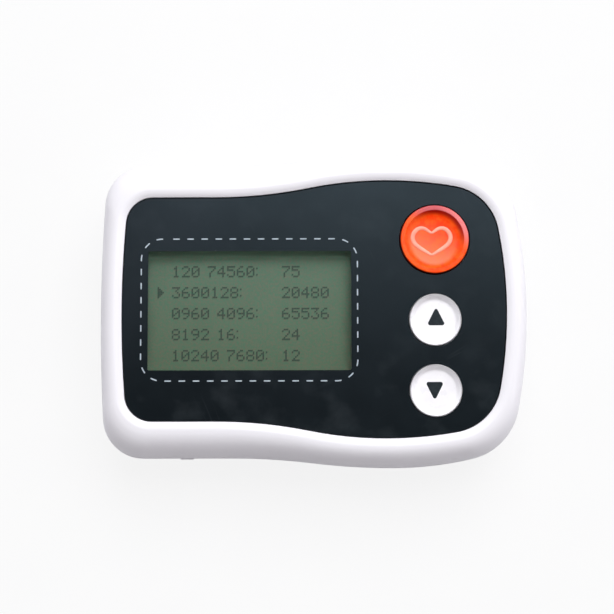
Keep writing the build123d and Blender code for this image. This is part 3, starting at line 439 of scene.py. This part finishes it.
low, high = (np.array(corner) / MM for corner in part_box("display_window"))
shelf, top = low[2] + FLANGE_THICKNESS, high[2]
lens_corners = [
    (0, low[2]), (FLANGE_REACH, low[2]), (FLANGE_REACH, shelf),
    (WALL_REACH, shelf), (WALL_REACH, top), (0, top),
]
lens_outline = soften(lens_corners, (0.1, 0.1, 0.1, 0.02))
print("lens outline:", len(lens_corners), "corners softened into", len(lens_outline), "points")
window = surface("window_lens", carried_round(lens_outline, low, high, FLANGE_REACH), lens, "recorder")
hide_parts("display_window")

# %% [markdown]
# A liquid crystal display is a sandwich of glass over a dull grey-green mirror. Its dots can be
# seen even where they are off, as a very faint net, and the mirror's grain gives a fine speckle
# of green and red. The colour runs a little darker towards the lower edge, and a strip along the
# upper edge is painted paler: painted light over the shadow of the frame, which would otherwise
# look too deep. The same recipe, darkened, makes the dots that are on.

# %% Display colours
DOT_PITCH = 0.357 * MM
GRAIN_SHARE = 0.24


def display_finish(name, darkening):
    """Grey-green with grain and the net of dots, and a painted light strip along the upper edge."""
    finish, shader = new_finish(name, Roughness=0.5, Specular_IOR_Level=0.1)
    y = xyz(finish)[1]
    ground = mix(finish, ramp(finish, y, -14 * MM, 13 * MM), tone(66, 80, 66), tone(74, 93, 82))
    # Painted light: a paler strip along the upper edge lightens the shadow of the frame.
    painted_light_strip = mix(finish, ramp(finish, y, 11 * MM, 12.4 * MM, soft=True), ground, tone(112, 138, 120))
    patches = cloud(finish, 0.0005, detail=1.0, at=(0.3, 0.7))
    grain = mix(finish, patches, tone(52, 112, 84), tone(118, 92, 78))
    speckled = mix(finish, GRAIN_SHARE, painted_light_strip, grain)
    dot = (0.94, 0.94, 0.94, 1)
    net = add(
        finish, "TexBrick", {"offset": 0.0}, Vector=place(finish), Scale=1 / DOT_PITCH,
        Brick_Width=1.0, Row_Height=1.0, Mortar_Size=0.06, Mortar_Smooth=0.3,
        Color1=dot, Color2=dot, Mortar=(1, 1, 1, 1),
    )
    netted = mix(finish, 1.0, speckled, net.outputs[0], blend="MULTIPLY")
    wear(finish, shader, Base_Color=mix(finish, darkening, netted, tone(28, 36, 36)) if darkening else netted)
    return finish


display = display_finish("display_ground", 0.0)
figure_ink = display_finish("display_figures", 0.75)
shadow_ink = display_finish("display_figure_shadow", 0.28)

# %% [markdown]
# The display shows five rows of plain numbers and a pointer beside the second row. A dot matrix
# draws each sign on five columns by seven rows. The signs are written here as rows of marks, and
# one array operation turns all lit dots into small squares just above the glass. The same dots,
# moved a little and fainter, are the shadow that real dots throw on the mirror behind them.

# %% Figures on the display
SIGNS = {
    "0": ".###. #...# #..## #.#.# ##..# #...# .###.",
    "1": "..#.. .##.. ..#.. ..#.. ..#.. ..#.. .###.",
    "2": ".###. #...# ....# ...#. ..#.. .#... #####",
    "3": "##### ...#. ..#.. ...#. ....# #...# .###.",
    "4": "...#. ..##. .#.#. #..#. ##### ...#. ...#.",
    "5": "##### #.... ####. ....# ....# #...# .###.",
    "6": "..##. .#... #.... ####. #...# #...# .###.",
    "7": "##### ....# ...#. ..#.. .#... .#... .#...",
    "8": ".###. #...# #...# .###. #...# #...# .###.",
    "9": ".###. #...# #...# .#### ....# ...#. .##..",
    ":": ". # . . . # .",
    " ": "... ... ... ... ... ... ...",
    ">": "#.... ##... ###.. ####. ###.. ##... #....",
}
ROWS = [
    ("120 74560:", "75"), ("3600128:", "20480"), ("0960 4096:", "65536"), ("8192 16:", "24"),
    ("10240 7680:", "12"),
]
LINE_STEP, TEXT_COLUMNS = 13, (9, 77)
POINTER_LINE = 1


def lit_dots(text, column, row):
    """Column and row of every lit dot of a line of signs, whose upper left dot is given."""
    places = []
    for sign in text:
        marks = np.array([[mark == "#" for mark in line] for line in SIGNS[sign].split()])
        places.append(np.argwhere(marks) + [row, column])
        column += marks.shape[1] + 1
    return np.concatenate(places)


dots = np.concatenate([lit_dots(">", 0, LINE_STEP * POINTER_LINE)] + [
    lit_dots(text, column, LINE_STEP * number)
    for number, pair in enumerate(ROWS)
    for text, column in zip(pair, TEXT_COLUMNS)
])
_, glass_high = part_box("display_glass")
first_dot = np.array([-34.3, 9.55]) * MM
half_dot = 0.45 * DOT_PITCH


def dot_squares(name, shift, lift, finish):
    """Each dot's centre is the first dot's plus column and row times the pitch."""
    centres = first_dot + (dots[:, ::-1] * [1, -1]) * DOT_PITCH + np.array(shift) * MM
    corners = np.array([[[-1, -1], [-1, 1]], [[1, -1], [1, 1]]]) * half_dot
    squares = with_height(centres[:, None, None, :] + corners, glass_high.z + lift * MM)
    return surface(name, squares, finish, "recorder", closed=False)


dot_squares("display_figures", shift=(0, 0), lift=0.012, finish=figure_ink)
dot_squares("display_figure_shadow", shift=(-0.10, -0.20), lift=0.006, finish=shadow_ink)
print("lit dots:", len(dots))

# %% [markdown]
# A button is a turned shape: one outline carried round an axis. The outline runs from the stem
# under the cap, through the hollow skirt and the flange, up the wall, over the rim and down into
# the bowl for the fingertip. All sizes here are in millimetres.

# %% Button caps
BUTTON_X, EVENT_Y, UP_Y, DOWN_Y = 26.5, 15.1, -2.55, -17.95
ROOF, STEM_RADIUS, SKIRT, FLANGE = 1.2, 2.1, 1.1, 1.0
BOWL_POINTS, CROWDING = 40, 1.7


def bowl_height(r, edge, depth, wall, corner):
    """Height over the rim. With t the distance from the bowl's edge over the wall's width, it is
    -depth t / (1 + t^k)^(1/k): a straight wall that turns into a flat floor, sharply for a large k."""
    t = np.maximum(edge - np.abs(r), 0) / wall
    return -depth * t / (1 + t**corner) ** (1 / corner)


def bowl_at(form, x, y):
    """Height of a button's bowl at places measured from its axis."""
    return form["top"] + bowl_height(np.hypot(x, y), *[form[k] for k in ("edge", "depth", "wall", "corner")])


def button_outline(low, top, radius, edge, depth, wall, corner):
    """(radius, height) from the foot of the stem, by the skirt, flange, wall and rim, to the bowl,
    whose points crowd towards its edge, where it is steep: r = edge (1 - t^crowding)."""
    roof = top - depth - ROOF
    r = edge * (1 - np.linspace(0, 1, BOWL_POINTS) ** CROWDING)[1:]
    bowl = np.stack([r, top + bowl_height(r, edge, depth, wall, corner)], axis=1)
    corners = [
        (0, low), (STEM_RADIUS, low), (STEM_RADIUS, roof), (radius - SKIRT, roof), (radius - SKIRT, low),
        (radius + FLANGE, low), (radius + FLANGE, low + FLANGE), (radius, low + FLANGE),
        (radius, top), (edge, top), tuple(bowl[3]),
    ]
    rim = 0.7 * min(radius - edge, 0.5)
    return np.concatenate([soften(corners, (0.15, 0.2, 0.2, 0.1, 0.2, 0.2, 0.1, rim, 0.08)), bowl[4:]])


def turned(name, y, outline, finish, body, columns=144):
    """The outline carried once round the vertical axis: x = r cos a, y = r sin a, z = height."""
    angle = np.linspace(0, 2 * np.pi, columns + 1)
    r, z = outline.T[:, :, None]
    points = np.stack([BUTTON_X + r * np.cos(angle), y + r * np.sin(angle), z + 0 * angle], axis=-1)
    return surface(name, points * MM, finish, body)


# %% [markdown]
# The event button is a thick red-orange plastic that light goes into. Its colour holds painted
# light and shade: the bowl is painted paler on the side away from the lamp, the ring towards
# the lamp has a painted duller, pinker reflection with painted shade inside it, and the outer
# edge is painted dark for the shadow in the gap. Rings of colour round the button's axis do
# this, together with a value that grows towards the lamp, and a clear coat gives the shine of a polished
# mould.

# %% Button plastics
def event_rings(inner, outer):
    """0 inside one radius round the event button's axis and 1 beyond another, in millimetres."""
    flat = place(event_red, (1, 1, 0), (-BUTTON_X * MM, -EVENT_Y * MM, 0))
    r = add(event_red, "VectorMath", {"operation": "LENGTH"}, i0=flat).outputs["Value"]
    return ramp(event_red, r, inner * MM, outer * MM, soft=True)


event_red, event_shader = new_finish(
    "event_red", Roughness=0.38, Specular_IOR_Level=0.12, Specular_Tint=(1.0, 0.5, 0.3, 1.0),
    Coat_Weight=0.25, Coat_Roughness=0.25,
    Subsurface_Weight=0.2, Subsurface_Scale=0.001, Subsurface_Radius=(1.0, 0.25, 0.1),
)
right_of, above, _ = xyz(event_red, shift=(-BUTTON_X * MM, -EVENT_Y * MM, 0))
slant = calc(event_red, "MULTIPLY_ADD", right_of, 0.55, above)
# Painted light: the bowl turns paler towards the lower left, away from the lamp.
painted_glow_share = ramp(event_red, slant, 4.5 * MM, -5.5 * MM, soft=True)
painted_glow = mix(event_red, painted_glow_share, tone(252, 60, 8), tone(255, 120, 84))
edge_red = mix(event_red, event_rings(4.9, 6.1), painted_glow, tone(252, 74, 14))
mottled = mix(event_red, cloud(event_red, 0.0012, 0.0, 0.32), edge_red, tone(255, 126, 40))
far_side = ramp(event_red, slant, 1.0 * MM, 6.0 * MM, soft=True)
# Painted shade: a dark red just inside the ring, on the side towards the lamp.
painted_shade = mix(event_red, far_side, mottled, tone(176, 22, 4))
with_painted_shade = mix(event_red, event_rings(5.2, 6.2), mottled, painted_shade)
to_right = ramp(event_red, right_of, 0.5 * MM, 5.0 * MM)
# Painted reflection: the ring towards the lamp turns duller and pinker.
painted_pink_sheen = mix(event_red, to_right, tone(204, 92, 100), tone(238, 128, 128))
ring = mix(event_red, far_side, mottled, painted_pink_sheen)
rim_red = mix(event_red, event_rings(6.35, 6.5), with_painted_shade, ring)
# Painted shadow: a dark red outer edge stands for the shade in the gap round the button.
wear(event_red, event_shader, Base_Color=mix(event_red, event_rings(7.3, 7.5), rim_red, tone(96, 8, 6)))
relief(event_red, event_shader, cloud(event_red, 0.0006), 0.003 * MM, 0.4)

key_white, key_shader = new_finish("key_white", Coat_Weight=0.2, Coat_Roughness=0.15)
key_tone = mix(key_white, cloud(key_white, 0.003), tone(243, 241, 245), tone(248, 247, 250))
wear(key_white, key_shader, Base_Color=key_tone, Roughness=cloud(key_white, 0.002, 0.25, 0.36))
relief(key_white, key_shader, cloud(key_white, 0.0006), 0.003 * MM, 0.4)

EVENT = dict(low=19.75, top=24.35, radius=7.55, edge=6.5, depth=1.1, wall=1.0, corner=2.0)
MENU = dict(low=19.75, top=24.15, radius=5.63, edge=5.45, depth=1.15, wall=0.9, corner=10.0)
for name, y, form, finish, body in [
    ("event_button", EVENT_Y, EVENT, event_red, "event_button"),
    ("up_button", UP_Y, MENU, key_white, "up_button"),
    ("down_button", DOWN_Y, MENU, key_white, "down_button"),
]:
    cap = turned(name, y, button_outline(**form), finish, body)
    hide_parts(name + "_cap")

# %% [markdown]
# A plain heart line stands slightly raised in the bowl of the event button. Its middle line is a
# sum of a few waves, which makes two lobes and a tip, blunted so that a wide line can follow it.
# A flat oval section is carried along it, and every point takes its height from the bowl itself.

# %% The heart line
def heart_line(t, half_width, scale, blunt):
    """x = a sin t (b + (1 - b) sin^2 t) and y = k (13 cos t - 3 cos 2t - 2 cos 3t - cos 4t). With b = 0
    the cleft and the tip are sharp, and a larger b blunts both."""
    x = half_width * np.sin(t) * (blunt + (1 - blunt) * np.sin(t) ** 2)
    return x, scale * (13 * np.cos(t) - 3 * np.cos(2 * t) - 2 * np.cos(3 * t) - np.cos(4 * t))


def heart_ribbon(steps, around, width, height, lift, to_left):
    """An oval carried along the heart line, lying on the bowl. Its width is w (0.5 + 0.5 |sin t|), so
    it is half as wide at the cleft and the tip as at the sides."""
    t = np.linspace(0, 2 * np.pi, steps + 1)
    x, y = heart_line(t, half_width=4.15, scale=0.22, blunt=0.42)
    x = x - to_left
    slope_x, slope_y = np.gradient(x, t), np.gradient(y, t)
    slope_x[0] = slope_x[-1] = slope_x[1]
    slope_y[0] = slope_y[-1] = 0
    size = np.hypot(slope_x, slope_y)
    turn = np.linspace(0, 2 * np.pi, around + 1)
    across = width / 2 * (0.5 + 0.5 * np.abs(np.sin(t)))[:, None] * np.cos(turn)
    px = x[:, None] - (slope_y / size)[:, None] * across
    py = y[:, None] + (slope_x / size)[:, None] * across
    pz = bowl_at(EVENT, px, py) + lift + height / 2 * np.sin(turn)
    return np.stack([BUTTON_X + px, EVENT_Y + py, pz], axis=-1) * MM


heart_pink, heart_shader = new_finish("heart_pink", Roughness=0.35)
heart_tone = mix(heart_pink, cloud(heart_pink, 0.002), tone(250, 152, 130), tone(254, 168, 142))
wear(heart_pink, heart_shader, Base_Color=heart_tone)
heart_points = heart_ribbon(steps=200, around=12, width=0.95, height=0.16, lift=0.02, to_left=0.6)
heart = surface("event_heart_line", heart_points, heart_pink, "event_button")

# %% [markdown]
# The arrows on the two smaller buttons are printed and slightly proud. A cushion shape serves
# for them and for the dashes on the panel: an outline grows from nothing to its full size and
# back while the height goes from below to above, which closes the shape at both poles.

# %% Cushions from outlines
def cushion(outline, rows=9, squareness=0.25):
    """Rows of the outline scaled by cos(e)^q, with sin(e)^q as their height from -1 to 1. A small q
    makes a flat top with a rounded edge. The first and last rows are the poles."""
    e = np.linspace(-np.pi / 2, np.pi / 2, rows)[:, None]
    ring = np.abs(np.cos(e)) ** squareness
    ring[[0, -1]] = 0
    lift = np.sign(np.sin(e)) * np.abs(np.sin(e)) ** squareness
    return np.stack([ring * outline[:, 0], ring * outline[:, 1], lift + 0 * outline[:, 0]], axis=-1)


def arrow(name, y, shift, points_up, body, half=2.05, lift=0.02):
    """A triangle with rounded corners, as wide as it is high, that follows the bowl."""
    s = half if points_up else -half
    corners = [(0, -s), (half, -s), (0, s), (-half, -s), (0, -s)]
    local = cushion(soften(corners, (0.45, 0.4, 0.45)))
    right_by, up_by = local[..., 0] + shift[0], local[..., 1] + shift[1]
    z = bowl_at(MENU, right_by, up_by) + lift * local[..., 2]
    return surface(name, np.stack([BUTTON_X + right_by, y + up_by, z], axis=-1) * MM, arrow_ink, body)


arrow_ink, arrow_shader = new_finish("arrow_ink", Roughness=0.5, Specular_IOR_Level=0.2)
arrow_tone = mix(arrow_ink, cloud(arrow_ink, 0.0008), tone(18, 28, 34), tone(28, 38, 44))
wear(arrow_ink, arrow_shader, Base_Color=arrow_tone)
arrow("up_arrow", UP_Y, shift=(0.23, 0.88), points_up=True, body="up_button")
arrow("down_arrow", DOWN_Y, shift=(-0.22, -0.15), points_up=False, body="down_button")

# %% [markdown]
# The dashed frame round the display is printed on the panel. Its path is a rectangle with round
# corners, measured once, so that a dash can be laid down by its distance along the path. All
# forty-eight dashes are bent onto the path in one go, and those at the corners curve with it.

# %% The dashed frame
FRAME = dict(centre=(-14.07, -0.23), width=47.3, height=31.1, corner=4.6)
ARC_STEPS = 40


def frame_path(s, centre, width, height, corner):
    """Place and outward direction at distances s along a rounded rectangle, from the middle of its
    top, clockwise. A fine table of the path is measured and read off by length."""
    a = np.linspace(0, np.pi / 2, ARC_STEPS)
    half_w, half_h = width / 2 - corner, height / 2 - corner
    quarter = [(half_w, half_h, 0), (half_w, -half_h, 1), (-half_w, -half_h, 2), (-half_w, half_h, 3)]
    tilt = np.concatenate([[0.0]] + [a + k * np.pi / 2 for *_, k in quarter] + [[2 * np.pi]])
    turns = [np.tile((x, y), (ARC_STEPS, 1)) for x, y, _ in quarter]
    mid = np.concatenate([[(0, half_h)], *turns, [(0, half_h)]])
    out = np.stack([np.sin(tilt), np.cos(tilt)], axis=-1)
    table = mid + corner * out
    far = np.concatenate([[0], np.cumsum(np.linalg.norm(np.diff(table, axis=0), axis=1))])
    s = np.mod(s, far[-1])
    spot = np.stack([np.interp(s, far, table[:, k]) for k in (0, 1)], axis=-1) + centre
    facing = np.interp(s, far, tilt)
    return spot, np.stack([np.sin(facing), np.cos(facing)], axis=-1)


def dashes(count, length, width, first, spacing, thickness, top, squareness=0.35, around=24):
    """A cushion per dash, bent onto the path: its own length runs along it, its width across. Its
    outline is |cos a|^q by |sin a|^q, an oval that a small q makes boxy. The dashes lie a fixed
    spacing apart, so what is left of the path widens the last gap."""
    a = np.linspace(0, 2 * np.pi, around + 1)
    along, across = (np.sign(wave) * np.abs(wave) ** squareness for wave in (np.cos(a), np.sin(a)))
    local = cushion(np.stack([along * length / 2, across * width / 2], axis=1), rows=7)
    s = first + spacing * np.arange(count)[:, None, None] + local[None, ..., 0]
    spot, facing = frame_path(s, **FRAME)
    flat = spot + facing * local[None, ..., 1:2]
    return with_height(flat, top + thickness * local[None, ..., 2:3]) * MM


print_ink, print_shader = new_finish("pale_print")
print_tone = mix(print_ink, cloud(print_ink, 0.0006), tone(162, 176, 188), tone(182, 194, 204))
wear(print_ink, print_shader, Base_Color=print_tone, Roughness=cloud(print_ink, 0.0006, 0.45, 0.6))
_, panel_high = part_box("front_panel")
dash_points = dashes(
    count=48, length=1.45, width=0.28, first=-15.98, spacing=3.09, thickness=0.015, top=panel_high.z / MM
)
frame_print = surface("display_frame_print", dash_points, print_ink, "recorder")

# %% [markdown]
# Inside the case the finishes are those of any small instrument. Metal first: drawn and plated
# steel shows fine lines along the direction it was worked in, and gold on the pins is smooth
# with a few dull patches. Both get their look from roughness, not from colour.

# %% Metals
def metal(name, colour, dull, shine, stretch):
    """Plated metal with drawn lines: noise stretched along one direction sets the roughness."""
    finish, shader = new_finish(name, Base_Color=colour, Metallic=1.0)
    lines = cloud(finish, 0.0003, stretch=stretch)
    wear(finish, shader, Roughness=ramp(finish, lines, 0.0, 1.0, shine, dull))
    relief(finish, shader, lines, 0.003 * MM, 0.5)
    return finish


steel = metal("plated_steel", tone(205, 205, 202), dull=0.42, shine=0.24, stretch=(0.08, 1, 1))
gold = metal("pin_gold", tone(240, 200, 112), dull=0.36, shine=0.18, stretch=(1, 1, 0.1))

# %% [markdown]
# Black mouldings, rubber and foam differ mostly in the size of their surface grain: a spark-worn
# mould leaves a tenth of a millimetre, rubber is finer and duller, and foam has open pores.

# %% Black plastic, grey plastic, rubber and foam
def grained(name, dark, light, rough, size, depth, strength=0.6):
    """A dull moulding: two close tones in soft patches and a surface grain of the given size."""
    finish, shader = new_finish(name)
    wear(finish, shader, Base_Color=mix(finish, cloud(finish, size * 12), dark, light))
    wear(finish, shader, Roughness=cloud(finish, size * 6, rough - 0.06, rough + 0.06))
    relief(finish, shader, cloud(finish, size, detail=2.0), depth, strength)
    return finish


black_plastic = grained("black_moulding", tone(24, 25, 27), tone(32, 33, 35), 0.52, 0.0002, 0.01 * MM)
chip_black = grained("chip_epoxy", tone(30, 31, 33), tone(38, 39, 41), 0.6, 0.0001, 0.006 * MM)
grey_plastic = grained("grey_moulding", tone(110, 114, 120), tone(122, 126, 132), 0.45, 0.0002, 0.01 * MM)
grey_rubber = grained("pale_rubber", tone(222, 220, 224), tone(232, 230, 234), 0.72, 0.00012, 0.008 * MM)
plunger_white = grained("plunger_nylon", tone(206, 202, 190), tone(220, 216, 204), 0.4, 0.00015, 0.005 * MM)
foam_black = grained("foam_black", tone(18, 18, 19), tone(34, 34, 36), 0.95, 0.0004, 0.12 * MM, 1.0)

# %% [markdown]
# The circuit board is glass cloth under green lacquer. Copper tracks lie under the lacquer as
# paler, slightly raised bands, and here and there a tinned pad shows. The tracks come from two
# wave patterns at right angles, let through only where a coarse noise allows.

# %% Circuit board
TRACK_WIDTH = 0.0004


def stripes(finish, direction, width, sharp=0.12):
    """Straight bands this wide, 1 on a band and 0 between."""
    options = {"bands_direction": direction}
    wave = add(finish, "TexWave", options, Vector=place(finish), Scale=0.5 / (width * 2), Distortion=0.0)
    return ramp(finish, wave.outputs["Fac"], 0.5 - sharp, 0.5 + sharp)


board, board_shader = new_finish("green_board", Coat_Weight=0.3, Coat_Roughness=0.2)
in_high = cloud(board, 0.007, detail=0.0, at=(0.5, 0.52))
in_low = cloud(board, 0.007, 1.0, 0.0, detail=0.0, at=(0.46, 0.48))
upright = calc(board, "MULTIPLY", stripes(board, "X", TRACK_WIDTH), in_high)
level = calc(board, "MULTIPLY", stripes(board, "Y", TRACK_WIDTH), in_low)
tracks = calc(board, "MAXIMUM", upright, level)
pads = specks(board, spacing=0.0022, width=0.28)
lacquer = mix(board, tracks, tone(18, 84, 52), tone(38, 122, 74))
wear(board, board_shader, Base_Color=mix(board, pads, lacquer, tone(208, 206, 196)), Metallic=pads)
wear(board, board_shader, Roughness=cloud(board, 0.003, 0.3, 0.42))
relief(board, board_shader, calc(board, "MAXIMUM", tracks, pads), 0.02 * MM, 0.6)

# %% [markdown]
# The ribbon cable is amber film with copper lines in it. The light guide is a milky slab with a
# net of white dots on its back that spreads the light.

# %% Amber film and light guide
film, film_shader = new_finish("amber_film", Roughness=0.3, Coat_Weight=0.4, Coat_Roughness=0.1)
copper = stripes(film, "X", 0.00035)
wear(film, film_shader, Base_Color=mix(film, copper, tone(196, 118, 34), tone(150, 74, 26)))
relief(film, film_shader, copper, 0.01 * MM)

guide, guide_shader = new_finish("light_guide", Roughness=0.25, Subsurface_Weight=0.3, Subsurface_Scale=0.002)
cells = add(guide, "TexVoronoi", Vector=place(guide), Scale=1 / 0.0008, Randomness=0.0)
dot = ramp(guide, cells.outputs["Distance"], 0.22, 0.32, 1.0, 0.0)
wear(guide, guide_shader, Base_Color=mix(guide, dot, tone(206, 218, 214), tone(244, 247, 246)))

# %% [markdown]
# A dry cell has a printed sleeve shrunk over a steel can. The bands are plain colours cut at
# heights along the cell, read from its own box, and the bare steel shows at both ends. The
# sleeve's edge is a little ridge, and the print has a fine mottle.

# %% Cell sleeves
SLEEVE_END, TIP_LENGTH, LINE_START, LINE_END = 1.3 * MM, 12 * MM, 12.4 * MM, 12.9 * MM


def band(finish, x, low, high, edge=0.05 * MM):
    """1 between two places along x and 0 outside, in metres, with a soft edge."""
    up = ramp(finish, x, low - edge, low)
    down = ramp(finish, x, high, high + edge, 1.0, 0.0)
    return calc(finish, "MULTIPLY", up, down)


def sleeve(name, node, raised_end):
    """Steel ends, a pale band at the raised end, on the right for 1 and on the left for -1, and a
    dark blue-grey sleeve between."""
    finish, shader = new_finish(name, Coat_Weight=0.5, Coat_Roughness=0.12)
    low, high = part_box(node)
    x = xyz(finish)[0]
    wrapped = band(finish, x, low.x + SLEEVE_END, high.x - SLEEVE_END)
    if raised_end > 0:
        tip = band(finish, x, high.x - TIP_LENGTH, high.x)
        line = band(finish, x, high.x - LINE_END, high.x - LINE_START)
    else:
        tip = band(finish, x, low.x, low.x + TIP_LENGTH)
        line = band(finish, x, low.x + LINE_START, low.x + LINE_END)
    print_colour = mix(finish, tip, tone(44, 58, 74), tone(200, 204, 206))
    print_colour = mix(finish, line, print_colour, tone(214, 168, 70))
    mottled = mix(finish, cloud(finish, 0.0008, 0.0, 0.15), print_colour, tone(120, 120, 120))
    wear(finish, shader, Base_Color=mix(finish, wrapped, tone(198, 198, 194), mottled))
    wear(finish, shader, Metallic=calc(finish, "SUBTRACT", 1.0, wrapped))
    wear(finish, shader, Roughness=cloud(finish, 0.002, 0.28, 0.4))
    relief(finish, shader, wrapped, 0.08 * MM)
    return finish


# %% [markdown]
# The label on the back is a thin plate of matt polyester. It stays bare but for a hairline border
# just inside its edge and the slight curl marks of a sticker that was pressed on by hand.

# %% Label
def inside(finish, low, high, margin):
    """1 in the rectangle that lies a margin inside two corners, and 0 outside."""
    x, y, _ = xyz(finish)
    from_ends = band(finish, x, low.x + margin, high.x - margin)
    from_sides = band(finish, y, low.y + margin, high.y - margin)
    return calc(finish, "MULTIPLY", from_ends, from_sides)


label, label_shader = new_finish("label_polyester")
label_low, label_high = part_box("rating_label")
within, core = (inside(label, label_low, label_high, margin * MM) for margin in (1.2, 1.45))
border = calc(label, "SUBTRACT", within, core)
silver = mix(label, cloud(label, 0.004), tone(214, 215, 218), tone(224, 225, 227))
wear(label, label_shader, Base_Color=mix(label, border, silver, tone(70, 78, 88)))
wear(label, label_shader, Roughness=cloud(label, 0.003, 0.5, 0.62))
relief(label, label_shader, cloud(label, 0.006), 0.03 * MM, 0.4)

# %% [markdown]
# Each solid part keeps its shape from the CAD model and gets the finish for its material. The
# record names a material for every part, and the few parts that share one but look different in
# life, such as the chips, are named one by one.

# %% Finishes for the solid parts
by_material = {
    "white_case": white, "navy_panel": navy, "clear_window": lens, "display_glass": display,
    "light_guide": guide, "black_foam": foam_black, "black_plastic": black_plastic,
    "grey_plastic": grey_plastic, "amber_film": film, "orange_button": event_red,
    "white_button": key_white, "plunger": plunger_white, "green_board": board, "steel": steel,
    "gold": gold, "grey_rubber": grey_rubber, "label": label,
}
by_part = {
    "signal_chip": chip_black, "controller_chip": chip_black, "memory_chip": chip_black,
    "battery_cell_upper": sleeve("upper_cell_sleeve", "battery_cell_upper", raised_end=1),
    "battery_cell_lower": sleeve("lower_cell_sleeve", "battery_cell_lower", raised_end=-1),
}
for name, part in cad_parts.items():
    material = part.data.materials[0].name.split(".")[0]
    part.data.materials[0] = by_part[name] if name in by_part else by_material[material]
print("finished", len(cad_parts), "solid parts with", len(set(by_material.values())), "finishes")
